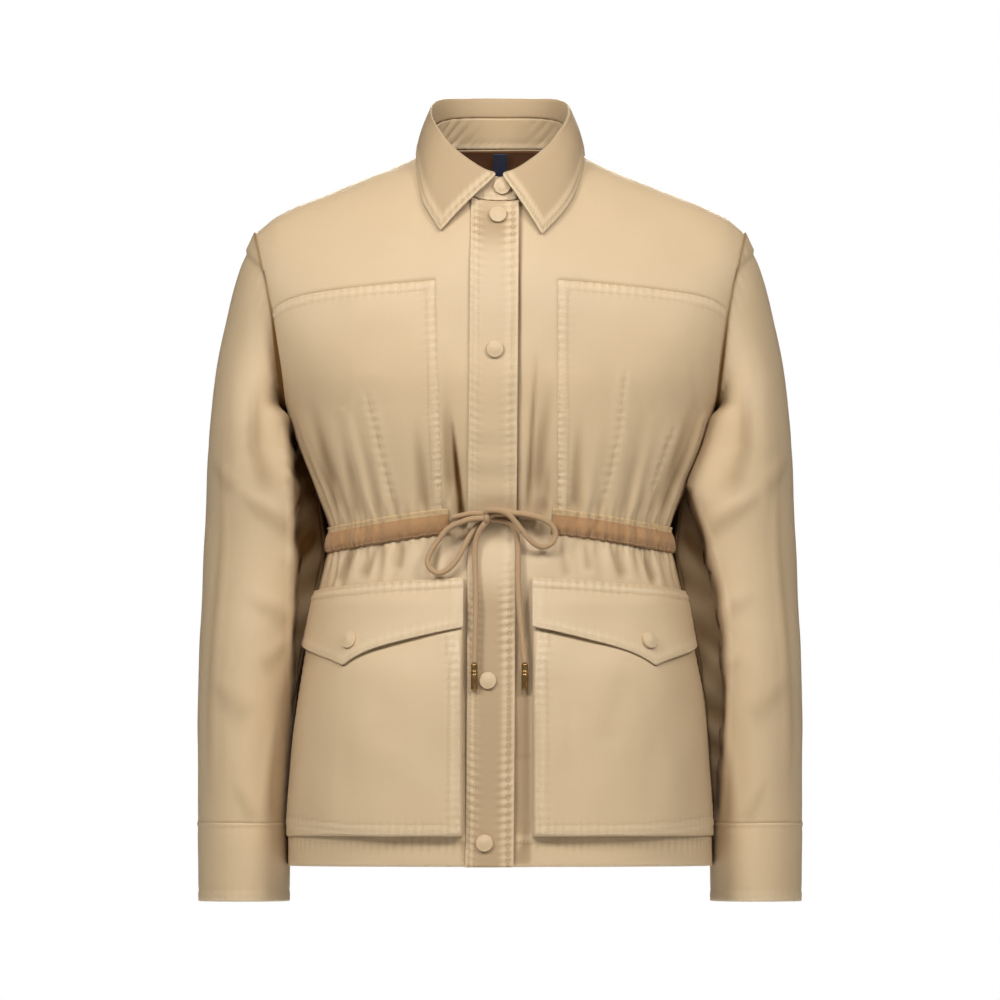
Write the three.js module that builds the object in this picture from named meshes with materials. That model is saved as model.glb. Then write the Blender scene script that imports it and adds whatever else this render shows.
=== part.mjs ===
import * as THREE from "three";

// A women's field jacket in tan cotton, standing as if worn, hollow and open at neck, hem and cuffs.
// Millimetres, +Z up. The front faces -Y and the wearer's right side is at -X.
// The origin is at the centre of the neck, level with the points where the shoulder seams meet it.

// Cloth and seams
const CLOTH = 1.2; // one layer with its seam allowances pressed in
const DOUBLE = 2.0; // two layers: cuffs, collar, placket, flaps
const SEAM = 0.3; // clear space between two pieces that are sewn together

// Heights of the body
const HEM = -639;
const ARMPIT = -230;
const YOKE_SEAM = -113; // at the centre strip; it falls towards the armhole
const STRIP_WIDENS = 6; // the right front's centre strip is so much wider at the yoke seam
const WAIST_FRONT = -327; // the drawcord tape's middle at the centre front
const WAIST_FALL = 20; // how much lower the tape runs at the sides
const TAPE_HALF = 11; // half the tape's width

// Shape of the body: half its width, and its depth before and behind the side seams
const ROUND = 2.4; // the power of a section's oval: 2 is an ellipse, more is squarer
const body = [
  { z: 60, half: 254, front: 76, back: 82 },
  { z: -42, half: 248, front: 83, back: 88 },
  { z: -72, half: 243, front: 90, back: 95 },
  { z: -100, half: 236, front: 97, back: 100 },
  { z: -141, half: 225, front: 106, back: 104 },
  { z: -196, half: 209, front: 113, back: 102 },
  { z: ARMPIT, half: 193, front: 111, back: 98 },
  { z: -265, half: 181, front: 106, back: 93 },
  { z: -305, half: 164, front: 97, back: 85 },
  { z: -340, half: 152, front: 91, back: 79 },
  { z: -370, half: 157, front: 97, back: 87 },
  { z: -400, half: 165, front: 104, back: 96 },
  { z: -436, half: 171, front: 111, back: 103 },
  { z: -490, half: 181, front: 119, back: 110 },
  { z: -580, half: 189, front: 127, back: 116 },
  { z: HEM, half: 191, front: 130, back: 118 },
];

// The shoulder line, from the middle of the neck to the armhole, and how far below it the cloth has
// curved over to the full depth of the front and the back
const shoulder = [
  { x: 0, z: 29 },
  { x: 20, z: 26.5 },
  { x: 40, z: 18.5 },
  { x: 56, z: 9.5 },
  { x: 66, z: 3.5 },
  { x: 99, z: -12 },
  { x: 151, z: -33 },
  { x: 200, z: -55 },
  { x: 220, z: -71 },
];
const SHOULDER_TIP = 220;
const FRONT_CURVE = 140;
const BACK_CURVE = 75;

// The armhole's edge on the front and the back, as half the width between the two armholes
const armhole = [
  { z: -71, x: 220 },
  { z: -100, x: 212 },
  { z: -141, x: 205 },
  { z: -196, x: 198 },
  { z: -217, x: 195.5 },
  { z: ARMPIT, x: 193 },
];

// Places round the body are counted in gathers from the centre front: 10 to a side seam, 20 to the
// centre back. A gather is one wave of the cloth that the drawcord draws in.
const SIDE = 10;
const CENTRE_BACK = 20;
const STRIP = 1.75; // the seam between the centre strip and the chest panel
const NECK = 2.5; // where the shoulder seam meets the neck
const RIGHT_EDGE = 0.5; // the right front ends here, under the placket
const LEFT_EDGE = -0.45; // the left front runs across the middle, under the placket
const GATHER = 2.6; // height of a gather above and below the cloth's mean

// Neck and collar, by the turn round the neck in degrees: 0 centre front, 180 centre back. right and
// left say how far from the middle the collar's edge lies on each hand; the left point is nearer.
const NECK_HALF = 66;
const collar = [
  { turn: 0, seam: -42, stand: -21, fold: -18, right: 46, left: 30.5, edgeZ: -78 },
  { turn: 12, seam: -41, stand: -18.5, fold: -14, right: 58.5, left: 50, edgeZ: -58 },
  { turn: 25, seam: -37, stand: -12.5, fold: -6, right: 65.5, left: 59.4, edgeZ: -46 },
  { turn: 44, seam: -26, stand: -3, fold: 7, right: 70, left: 66.7, edgeZ: -32 },
  { turn: 60, seam: -14, stand: 8, fold: 21, right: 72.5, left: 71, edgeZ: -18 },
  { turn: 75, seam: -4.5, stand: 16, fold: 31, right: 73, left: 72.6, edgeZ: -8 },
  { turn: 90, seam: 3.5, stand: 23, fold: 39, right: 73, left: 73, edgeZ: -0.5 },
  { turn: 105, seam: 5, stand: 27, fold: 45.5, right: 72, left: 72, edgeZ: -5 },
  { turn: 125, seam: 5.5, stand: 31, fold: 49.5, right: 61, left: 61, edgeZ: -14 },
  { turn: 150, seam: 5.5, stand: 33, fold: 50, right: 33, left: 33, edgeZ: -18 },
  { turn: 180, seam: 5.5, stand: 33, fold: 50, right: 0, left: 0, edgeZ: -19 },
];

// A sleeve's outline: its outer and inner edge from the middle of the body, its front and its back,
// and how far the inner quarter behind the side seam is drawn in behind the body
const sleeve = [
  { z: -262, outer: 260.5, inner: 190, front: -52, back: 78, tuck: 20 },
  { z: -303, outer: 263, inner: 172, front: -52, back: 80, tuck: 26 },
  { z: -347, outer: 265, inner: 161, front: -50, back: 78, tuck: 30 },
  { z: -390, outer: 267, inner: 167, front: -50, back: 74, tuck: 27 },
  { z: -436, outer: 269, inner: 177.5, front: -52, back: 70, tuck: 25 },
  { z: -490, outer: 271, inner: 186, front: -50, back: 68, tuck: 22 },
  { z: -545, outer: 271, inner: 190.5, front: -46, back: 66, tuck: 17 },
  { z: -601, outer: 270, inner: 193.5, front: -40, back: 62, tuck: 12 },
];
const TUCK_FROM = 0.47; // shares of the way round, counted from the outer edge by the front
const TUCK_TO = 0.85;
const CUFF_TOP = -601;
const CUFF_END = -671;

// Placket, pockets and flaps
const PLACKET_SEWN = -25.5; // the edge that is stitched to the right front, at the neck
const PLACKET_FREE = 16.8;
const PLACKET_DRIFT = 5.3; // how far the placket leans to the wearer's right by the hem
const PLACKET_LIFT = 0.6;
const POCKET_INNER = { right: 33, left: 29 };
const POCKET_OUTER = 0.955; // share of the way from the centre front to the side seam
const POCKET_OPEN = -410;
const POCKET_BOTTOM = -612;
const POCKET_LIFT = 0.7;
const POCKET_DEPTH = 8; // how far the pocket's face stands off the skirt beside the placket
const POCKET_CLOTH = 1.6;
const FLAP_POINT = 0.5; // share of the flap's width at which its point hangs

// Cord, its metal ends and the snaps
const CORD = 5;
const CORD_END = { diameter: 6, length: 24 };
const SNAP = { radius: 7.8, height: 4 };

const smoothstep = (from, to, value) => {
  const t = Math.min(Math.max((value - from) / (to - from), 0), 1);
  return t * t * (3 - 2 * t);
};
const mix = (a, b, t) => a + (b - a) * t;

// A smooth curve through one column of a table, read at a place on another column: a cubic between
// two rows, whose slope at each row comes from the rows beside it.
function read(table, key, column, place) {
  const falling = table[0][key] > table[table.length - 1][key];
  const rows = falling ? [...table].reverse() : table;
  const last = rows.length - 1;
  const at = Math.min(Math.max(place, rows[0][key]), rows[last][key]);
  let i = 0;
  while (i < last - 1 && rows[i + 1][key] < at) i++;
  const slope = (k) => {
    const a = rows[Math.max(k - 1, 0)];
    const b = rows[Math.min(k + 1, last)];
    return (b[column] - a[column]) / (b[key] - a[key]);
  };
  const span = rows[i + 1][key] - rows[i][key];
  const t = (at - rows[i][key]) / span;
  const rise = rows[i + 1][column] - rows[i][column];
  const start = slope(i) * span;
  const end = slope(i + 1) * span;
  return rows[i][column] + t * (start + t * (3 * rise - 2 * start - end + t * (start + end - 2 * rise)));
}

// How far round the body a point at half width x lies: 0 centre front, 1 side seam
function roundAt(x, z) {
  const share = Math.min(Math.abs(x) / read(body, "z", "half", z), 1);
  return (Math.sign(x) * 2 * Math.asin(share ** (ROUND / 2))) / Math.PI;
}

// The tape dips from the centre front to the sides and stays low round the back.
function waistAt(round) {
  const side = Math.sin((Math.min(Math.abs(round), 1) * Math.PI) / 2);
  return WAIST_FRONT - WAIST_FALL * side ** 1.33 + 3 * Math.max(round - 1, 0);
}

// Waves that the drawcord draws into the cloth, with two deep folds beside the placket. They are
// highest at the waist and fade over some 80 mm above it and 40 mm below it.
function gatherAt(side, gathers, round, z) {
  const above = z - waistAt(round);
  const reach = above > 0 ? 62 + 22 * Math.sin(1.7 * gathers + side) : 33 + 7 * Math.sin(2.1 * gathers);
  const height = GATHER * (0.8 + 0.2 * Math.sin(2.3 * gathers + 2 * side));
  const clear = smoothstep(0.7, 1.5, gathers);
  const wave = height * clear * Math.exp(-((above / reach) ** 2)) * Math.cos(2 * Math.PI * gathers);
  const foldTop = side < 0 ? 125 : 150;
  const fold = Math.exp(-(((gathers - 1.12) / 0.22) ** 2)) * smoothstep(foldTop, 0, above);
  return wave - (above > 0 ? 3 * fold : 3 * fold * Math.exp(-((above / 30) ** 2)));
}

// A point of the body's outer face. side is -1 for the wearer's right, round is 0 at the centre
// front, 1 at the side seam and 2 at the centre back. above lifts a point off the cloth.
function bodyPoint(side, round, z, gathers, above = 0) {
  const half = read(body, "z", "half", z);
  const front = Math.abs(round) < 1;
  const depth = read(body, "z", front ? "front" : "back", z);
  const turn = (round * Math.PI) / 2;
  const across = Math.sign(Math.sin(turn)) * Math.abs(Math.sin(turn)) ** (2 / ROUND);
  const along = Math.abs(Math.cos(turn)) ** (2 / ROUND);
  const x = half * across;
  const drop = (read(shoulder, "x", "z", Math.abs(x)) - z) / (front ? FRONT_CURVE : BACK_CURVE);
  const curve = Math.sqrt(1 - (1 - Math.min(Math.max(drop, 0), 1)) ** 2);
  const y = (front ? -1 : 1) * depth * along * curve;
  const out = new THREE.Vector2(
    (Math.sign(across) * Math.abs(across) ** (ROUND - 1)) / half,
    ((front ? -1 : 1) * along ** (ROUND - 1)) / depth,
  ).normalize();
  const lift = above + (gathers === undefined ? 0 : gatherAt(side, gathers, round, z));
  return new THREE.Vector3(side * (x + out.x * lift), y + out.y * lift, z);
}

// A point of the front by its distance from the middle, with no gathers
const frontPoint = (x, z, above = 0) => bodyPoint(-1, roundAt(-x, z), z, undefined, above);

// One place of a cloth wall: the surface's point there, moved out along its normal to the wall's
// inner and outer face. facing is 1 where across x down points out of the cloth.
function place(surface, across, down, limits, faces, facing = 1) {
  const step = 0.004;
  const [left, right, top, bottom] = limits;
  const a = Math.min(Math.max(across - step, left), right - 2 * step);
  const d = Math.min(Math.max(down - step, top), bottom - 2 * step);
  const alongRow = surface(a + 2 * step, down).sub(surface(a, down));
  const alongColumn = surface(across, d + 2 * step).sub(surface(across, d));
  const normal = alongRow.cross(alongColumn).normalize().multiplyScalar(facing);
  const point = surface(across, down);
  return {
    key: across,
    inner: point.clone().addScaledVector(normal, faces[0]),
    outer: point.clone().addScaledVector(normal, faces[1]),
  };
}

// A wall of cloth: places joined by triangles on the outer face, the same on the inner face, and a
// rim along every free edge.
class Wall {
  constructor() {
    this.places = [];
    this.triangles = [];
  }

  row(places) {
    return places.map((one) => ({ key: one.key, index: this.places.push(one) - 1 }));
  }

  // Joins two rows, which may differ in their number of places: the one that lags steps on.
  join(above, below, closed = false) {
    const wrap = (row) => (closed ? [...row, { ...row[0], key: row[0].key + 1 }] : row);
    const a = wrap(above);
    const b = wrap(below);
    let i = 0;
    let j = 0;
    while (i < a.length - 1 || j < b.length - 1) {
      const stepAbove = j === b.length - 1 || (i < a.length - 1 && a[i + 1].key <= b[j + 1].key);
      const next = stepAbove ? a[i + 1] : b[j + 1];
      this.triangles.push([a[i].index, b[j].index, next.index]);
      if (stepAbove) i++;
      else j++;
    }
  }

  rows(list, closed = false) {
    const made = list.map((places) => this.row(places));
    for (let k = 1; k < made.length; k++) this.join(made[k - 1], made[k], closed);
    return made;
  }

  // Where a row was given as bare points, the wall's faces lie on both sides of the mean normal of
  // the triangles that meet at each point.
  thicken(faces, facing) {
    const normals = this.places.map(() => new THREE.Vector3());
    const middle = this.places.map((one) => one.point ?? one.inner.clone().lerp(one.outer, 0.5));
    for (const [a, b, c] of this.triangles) {
      const edge = middle[b].clone().sub(middle[a]);
      const normal = edge.cross(middle[c].clone().sub(middle[a])).multiplyScalar(facing);
      for (const index of [a, b, c]) normals[index].add(normal);
    }
    this.places.forEach((one, index) => {
      if (!one.point) return;
      const normal = normals[index].normalize();
      one.inner = one.point.clone().addScaledVector(normal, faces[0]);
      one.outer = one.point.clone().addScaledVector(normal, faces[1]);
    });
  }

  geometry() {
    const count = this.places.length;
    const corners = [...this.places.map((one) => one.outer), ...this.places.map((one) => one.inner)];
    const faces = [];
    const free = new Map();
    for (const [a, b, c] of this.triangles) {
      faces.push([a, b, c], [a + count, c + count, b + count]);
      for (const [from, to] of [[a, b], [b, c], [c, a]]) {
        if (!free.delete(`${to} ${from}`)) free.set(`${from} ${to}`, [from, to]);
      }
    }
    for (const [from, to] of free.values()) {
      faces.push([to, from, from + count], [to, from + count, to + count]);
    }
    const volume = faces.reduce(
      (sum, [a, b, c]) => sum + corners[a].dot(corners[b].clone().cross(corners[c])),
      0,
    );
    const geometry = new THREE.BufferGeometry();
    const numbers = corners.flatMap((corner) => corner.toArray());
    geometry.setAttribute("position", new THREE.Float32BufferAttribute(numbers, 3));
    geometry.setIndex(faces.flatMap((face) => (volume < 0 ? [face[0], face[2], face[1]] : face)));
    geometry.computeVertexNormals();
    return geometry;
  }
}

const jacket = new THREE.Group();

function addMesh(name, geometry, finish) {
  const mesh = new THREE.Mesh(geometry, new THREE.MeshStandardMaterial(finish));
  mesh.name = name;
  jacket.add(mesh);
  return mesh;
}

const SIDES = [
  { side: -1, hand: "right", edge: RIGHT_EDGE },
  { side: 1, hand: "left", edge: LEFT_EDGE },
];
const CLOTH_FINISH = { color: 0xd6c0a0, roughness: 0.75, metalness: 0 };

const range = (from, to, step) => {
  const count = Math.round(Math.abs(to - from) / step);
  return Array.from({ length: count + 1 }, (_, k) => from + ((to - from) * k) / count);
};

// The body in rows: 0 the neck and shoulder edge, 1 the yoke seam, 2 the armpit, 3 the waist, 4 the
// hem. neckX and neckZ give the upper edge by gathers from the centre.
const neckTurn = (gathers) => (gathers * Math.PI) / 2 / NECK;
const edgeX = (gathers) =>
  Math.abs(gathers) < NECK
    ? NECK_HALF * Math.sin(neckTurn(gathers))
    : mix(NECK_HALF, SHOULDER_TIP, (gathers - NECK) / (SIDE - NECK));
const edgeZ = (gathers, back) => {
  if (gathers > NECK) return read(shoulder, "x", "z", edgeX(gathers));
  const turn = (Math.abs(neckTurn(gathers)) * 180) / Math.PI;
  return read(collar, "turn", "seam", back ? 180 - turn : turn);
};
const armholeRound = (z) => roundAt(read(armhole, "z", "x", z), z);

// The yoke seam runs level from the strip, then falls faster towards the armhole.
const yokeSeamZ = (gathers) => {
  const share = Math.max((gathers - STRIP) / (SIDE - STRIP), 0);
  return YOKE_SEAM - 18 * share - 10 * share ** 6;
};

// Half the width at which a seam that meets the waist at so many gathers runs at another height
function seamX(gathers, z, widening = 0) {
  const waist = waistAt(gathers / SIDE);
  const x = Math.abs(bodyPoint(1, gathers / SIDE, waist).x);
  return x + widening * smoothstep(waist, YOKE_SEAM, z);
}

function frontRound(edge, gathers, z, zAtArmhole) {
  const strip = roundAt(seamX(STRIP, z, edge > 0 ? STRIP_WIDENS : 0), z);
  if (gathers <= STRIP) {
    const start = Math.sign(edge) * roundAt(seamX(edge, z), z);
    return mix(start, strip, (gathers - edge) / (STRIP - edge));
  }
  const outer = zAtArmhole > ARMPIT ? armholeRound(zAtArmhole) : 1;
  return mix(strip, outer, (gathers - STRIP) / (SIDE - STRIP));
}

// The upper front between rows 0 and 1, and the chest between rows 1 and 3
function frontSurface(side, edge) {
  return (gathers, row) => {
    const seam = yokeSeamZ(gathers);
    if (row < 1) {
      const share = row ** 2;
      const top = edgeZ(gathers, false);
      const z = mix(top, seam, share);
      const seamRound = frontRound(edge, gathers, seam, yokeSeamZ(SIDE));
      const seamPoint = bodyPoint(1, seamRound, seam);
      const x = mix(edgeX(gathers), seamPoint.x, share);
      return bodyPoint(side, roundAt(x, z), z, gathers);
    }
    const rowZ = (at, fromZ) =>
      row < 2 ? mix(fromZ, ARMPIT, row - 1) : mix(ARMPIT, waistAt(at), row - 2);
    const waistRound = gathers / SIDE;
    const z = rowZ(waistRound, seam);
    const round = frontRound(edge, gathers, z, rowZ(1, yokeSeamZ(SIDE)));
    return bodyPoint(side, round, z, gathers);
  };
}

function skirtSurface(side) {
  return (gathers, row) => {
    const round = gathers / SIDE;
    return bodyPoint(side, round, mix(waistAt(round), HEM, row - 3), gathers);
  };
}

// The back, by gathers from the centre back, negative towards the wearer's right
function backSurface(across, row) {
  const side = across < 0 ? -1 : 1;
  const gathers = Math.abs(across);
  const fromFront = CENTRE_BACK - gathers;
  const waist = waistAt(fromFront / SIDE);
  if (row >= 3) return bodyPoint(side, fromFront / SIDE, mix(waist, HEM, row - 3), fromFront);
  if (row >= 2) return bodyPoint(side, fromFront / SIDE, mix(ARMPIT, waist, row - 2), fromFront);
  const share = (row / 2) ** 2;
  const z = mix(edgeZ(gathers, true), ARMPIT, share);
  const armZ = mix(shoulder[shoulder.length - 1].z, ARMPIT, share);
  const top = edgeX(gathers) / SHOULDER_TIP;
  const low = Math.sin((gathers / SIDE) * (Math.PI / 2)) ** (2 / ROUND);
  const x = read(armhole, "z", "x", armZ) * mix(top, low, share);
  return bodyPoint(side, 2 - roundAt(x, z), z, fromFront);
}

// Rows near the waist, by their distance from it, with the step between their places: a gather has
// a place on its crest and one in its valley.
const ABOVE_WAIST = [
  { rise: TAPE_HALF, step: 0.5 },
  { rise: 30, step: 0.5 },
  { rise: 62, step: 0.5 },
];
const BELOW_WAIST = [
  { rise: TAPE_HALF, step: 0.5 },
  { rise: 26, step: 0.5 },
  { rise: 46, step: 0.5 },
];
const CHEST_SPAN = ARMPIT - WAIST_FRONT + WAIST_FALL / 2;
const SKIRT_SPAN = WAIST_FRONT - WAIST_FALL / 2 - HEM;
const waistRows = [...ABOVE_WAIST]
  .reverse()
  .map(({ rise, step }) => ({ row: 3 - rise / CHEST_SPAN, step }));
const skirtRows = [
  ...BELOW_WAIST.map(({ rise, step }) => ({ row: 3 + rise / SKIRT_SPAN, step })),
  ...[0.26, 0.38, 0.52, 0.67, 0.83, 1].map((share) => ({ row: 3 + share, step: 1 })),
];

// Columns of a stretch of cloth at a step, its two ends always among them and drawn in by half a
// seam; grain says how much of the body one gather takes there.
const HALF_SEAM = SEAM / 2 / 22;
function columns(from, to, step) {
  const inside = range(Math.ceil(from / step) * step, Math.floor(to / step) * step, step);
  const kept = inside.filter((at) => at > from + step * 0.3 && at < to - step * 0.3);
  return [from + HALF_SEAM, ...kept, to - HALF_SEAM];
}

const YOKE_ROWS = [0.002, 0.22, 0.42, 0.62, 0.82];
const ARMHOLE_ROWS = [1.3, 1.6, 1.8, 1.92];
const YOKE_COLUMNS = [0.75, 1, 1.25, 1.5, 1.75, 2, 2.25, 2.5, 3.25, 4, 5, 6, 7, 8, 9];
const SEAM_ROW = SEAM / 2 / (ARMPIT - YOKE_SEAM) / -1;

// The L of the yoke and centre strip, the chest panel and the skirt front, for each side
const armholeEdges = {};
const upperPlaces = {};
const skirtPlaces = {};
for (const { side, hand, edge } of SIDES) {
  const facing = -side;
  const upper = frontSurface(side, edge);
  const faces = [-CLOTH, 0];
  const upperPlace = (across, down) =>
    place(upper, across, down, [edge, SIDE, 0, 3], faces, facing);

  upperPlaces[hand] = upper;

  const yoke = new Wall();
  const leading = edge < 0 ? [edge, -0.2, 0.05, 0.3, 0.5] : [edge];
  const yokeAcross = [...leading, ...YOKE_COLUMNS, SIDE - HALF_SEAM];
  const yokeList = [...YOKE_ROWS, 1 - SEAM_ROW].map((down) =>
    yokeAcross.map((across) => upperPlace(across, down)),
  );
  const yokeMade = yoke.rows(yokeList);
  const seamRow = yokeMade[yokeMade.length - 1].filter((one) => one.key <= STRIP);
  let stripAbove = seamRow;
  const stripRows = [1.2, 1.5, 1.75, 2, ...waistRows.map((one) => one.row)];
  for (const down of [...stripRows, 3 - SEAM / 2 / CHEST_SPAN]) {
    const across = seamRow.map((one) => one.key).slice(0, -1);
    const next = yoke.row([...across, STRIP - HALF_SEAM].map((at) => upperPlace(at, down)));
    yoke.join(stripAbove, next);
    stripAbove = next;
  }
  addMesh(`front_yoke_${hand}`, yoke.geometry(), CLOTH_FINISH);

  const chest = new Wall();
  const chestRows = [
    { row: 1 + SEAM_ROW, across: [STRIP + HALF_SEAM, ...YOKE_COLUMNS.slice(5), SIDE - HALF_SEAM] },
    ...ARMHOLE_ROWS.map((row) => ({ row, across: columns(STRIP, SIDE, 1) })),
    { row: 2, across: columns(STRIP, SIDE, 0.5) },
    ...waistRows.map(({ row, step }) => ({ row, across: columns(STRIP, SIDE, step) })),
    { row: 3 - SEAM / 2 / CHEST_SPAN, across: columns(STRIP, SIDE, 0.5) },
  ];
  chest.rows(chestRows.map(({ row, across }) => across.map((at) => upperPlace(at, row))));
  addMesh(`front_chest_${hand}`, chest.geometry(), CLOTH_FINISH);

  const skirt = skirtSurface(side);
  skirtPlaces[hand] = skirt;
  const skirtPlace = (at, down) => place(skirt, at, down, [edge, SIDE, 3, 4], faces, facing);
  const skirtWall = new Wall();
  const skirtList = [{ row: 3 + SEAM / 2 / SKIRT_SPAN, step: 0.5 }, ...skirtRows];
  skirtWall.rows(
    skirtList.map(({ row, step }) => columns(edge, SIDE, step).map((at) => skirtPlace(at, row))),
  );
  addMesh(`front_skirt_${hand}`, skirtWall.geometry(), CLOTH_FINISH);

  const armholeRows = [0, ...YOKE_ROWS.slice(1), 1, ...ARMHOLE_ROWS, 2];
  armholeEdges[hand] = armholeRows.map((row) => upperPlace(SIDE, row));
}

// The back is one piece from the neck to the hem.
const BACK_ROWS = [0.004, 0.1, 0.3, 0.6, 0.9, 1.2, 1.45, 1.65, 1.82, 1.93];
const backPlace = (across, down) =>
  place(backSurface, across, down, [-SIDE, SIDE, 0, 4], [-CLOTH, 0]);
const mirrored = (list) => [...list.map((at) => -at).reverse(), ...list.filter((at) => at > 0)];
const backUpperAcross = mirrored([0, 0.5, 1, 1.5, 2, NECK, 3.25, 4, 5, 6, 7, 8, 9, SIDE - HALF_SEAM]);
const backAcross = (step) => mirrored([0, ...columns(0, SIDE, step).slice(1)]);
const backWall = new Wall();
backWall.rows([
  ...BACK_ROWS.map((row) => backUpperAcross.map((at) => backPlace(at, row))),
  ...[{ row: 2, step: 0.5 }, ...waistRows, { row: 3, step: 0.5 }, ...skirtRows].map(
    ({ row, step }) => backAcross(step).map((at) => backPlace(at, row)),
  ),
]);
addMesh("back", backWall.geometry(), CLOTH_FINISH);

for (const { side, hand } of SIDES) {
  const backEdge = BACK_ROWS.slice(1).map((row) => backPlace(side * SIDE, row));
  armholeEdges[hand].push(...backEdge.reverse());
}

// Sleeve: its first row is the armhole's edge moved off by a seam. The head then bends out and down
// to the first of the sleeve's own sections, whose places are matched to the edge's by arc length.
function sleevePoint(side, share, z, inset = 0) {
  const turn = share * 2 * Math.PI;
  const outer = read(sleeve, "z", "outer", z) - inset;
  const inner = read(sleeve, "z", "inner", z) + inset;
  const front = read(sleeve, "z", "front", z) + inset;
  const back = read(sleeve, "z", "back", z) - inset;
  const behind = Math.min(Math.max((share - TUCK_FROM) / (TUCK_TO - TUCK_FROM), 0), 1);
  const tuck = read(sleeve, "z", "tuck", z) * Math.sin(Math.PI * behind) ** 2;
  const x = (outer + inner) / 2 + ((outer - inner) / 2) * Math.cos(turn) - tuck;
  const y = (front + back) / 2 - ((back - front) / 2) * Math.sin(turn);
  return new THREE.Vector3(side * x, y, z);
}

const HEAD_ROWS = [0.06, 0.14, 0.25, 0.4, 0.6, 0.8];
for (const { side, hand } of SIDES) {
  const loop = armholeEdges[hand];
  const count = loop.length;
  const middle = loop.map((one) => one.inner.clone().lerp(one.outer, 0.5));
  const bottom = ARMHOLE_ROWS.length + YOKE_ROWS.length + 1;
  const lengths = [0];
  for (let k = 1; k <= count; k++) {
    lengths.push(lengths[k - 1] + middle[k % count].distanceTo(middle[k - 1]));
  }
  const share = (k) =>
    k <= bottom
      ? (lengths[k] / lengths[bottom]) * 0.5
      : 0.5 + ((lengths[k] - lengths[bottom]) / (lengths[count] - lengths[bottom])) * 0.5;

  const top = sleeve[0].z;
  const head = loop.map((one, k) => {
    const along = middle[(k + 1) % count].clone().sub(middle[(k + count - 1) % count]);
    const normal = one.outer.clone().sub(one.inner);
    const off = along.cross(normal).normalize().multiplyScalar(-side);
    return { one, off, share: share(k) };
  });

  const wall = new Wall();
  const firstRow = head.map(({ one, off, share: key }) => ({
    key,
    inner: one.inner.clone().addScaledVector(off, SEAM),
    outer: one.outer.clone().addScaledVector(off, SEAM),
  }));
  const made = [wall.row(firstRow)];
  for (const t of HEAD_ROWS) {
    const row = head.map(({ off, share: key }, k) => {
      const low = (1 - Math.cos(key * 2 * Math.PI)) / 2; // 0 at the shoulder, 1 at the armpit
      const start = middle[k].clone().addScaledVector(off, SEAM);
      const end = sleevePoint(side, key, top, CLOTH / 2);
      const leave = off.clone().multiplyScalar(mix(45, 22, low));
      leave.add(new THREE.Vector3(side * mix(20, 26, low), 0, mix(-70, -4, low)));
      const arrive = new THREE.Vector3(0, 0, mix(-190, -40, low));
      const point = start.multiplyScalar(2 * t ** 3 - 3 * t ** 2 + 1);
      point.addScaledVector(leave, t ** 3 - 2 * t ** 2 + t);
      point.addScaledVector(end, 3 * t ** 2 - 2 * t ** 3);
      point.addScaledVector(arrive, t ** 3 - t ** 2);
      return { key, point };
    });
    made.push(wall.row(row));
  }
  const below = range(top, CUFF_TOP + SEAM / 2, 48);
  for (const z of below) {
    const row = head.map(({ share: key }) => ({ key, point: sleevePoint(side, key, z, CLOTH / 2) }));
    made.push(wall.row(row));
  }
  for (let k = 1; k < made.length; k++) wall.join(made[k - 1], made[k], true);
  wall.thicken([-CLOTH / 2, CLOTH / 2], -side);
  addMesh(`sleeve_${hand}`, wall.geometry(), CLOTH_FINISH);

  // Cuff: two layers, a little tighter towards the hand
  const cuff = new Wall();
  const around = range(0, 1, 1 / 20).slice(0, -1);
  const cuffRows = [CUFF_TOP - SEAM / 2, -636, CUFF_END].map((z) =>
    around.map((key) => ({
      key,
      outer: sleevePoint(side, key, CUFF_TOP, 0.5 * smoothstep(CUFF_TOP, CUFF_END, z)).setZ(z),
      inner: sleevePoint(side, key, CUFF_TOP, DOUBLE).setZ(z),
    })),
  );
  cuff.rows(cuffRows, true);
  addMesh(`cuff_${hand}`, cuff.geometry(), CLOTH_FINISH);
}

// Waist tape: the drawcord's channel, sewn over the gathers from one side of the placket round the
// back to the other, so its two edges follow the body's rows there.
const TAPE_START = 1.5;
const TAPE_FACES = [0.4, 1.9];
const TAPE_FINISH = { color: 0xa88259, roughness: 0.85, metalness: 0 };
const tape = new Wall();
const frontTape = range(TAPE_START, SIDE - 0.5, 0.5);
const tapeRows = [3 - TAPE_HALF / CHEST_SPAN, 3 + TAPE_HALF / SKIRT_SPAN].map((row) => {
  const front = ({ side, hand }) => {
    const surface = row < 3 ? upperPlaces[hand] : skirtPlaces[hand];
    const limits = [TAPE_START, SIDE, Math.floor(row), Math.ceil(row)];
    return frontTape.map((at) => place(surface, at, row, limits, TAPE_FACES, -side));
  };
  const limits = [-SIDE, SIDE, 0, 4];
  const behind = range(-SIDE, SIDE, 0.5).map((at) =>
    place(backSurface, at, row, limits, TAPE_FACES),
  );
  const round = [...front(SIDES[0]), ...behind, ...front(SIDES[1]).reverse()];
  return round.map((one, key) => ({ ...one, key }));
});
tape.rows(tapeRows);
addMesh("waist_tape", tape.geometry(), TAPE_FINISH);

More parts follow.
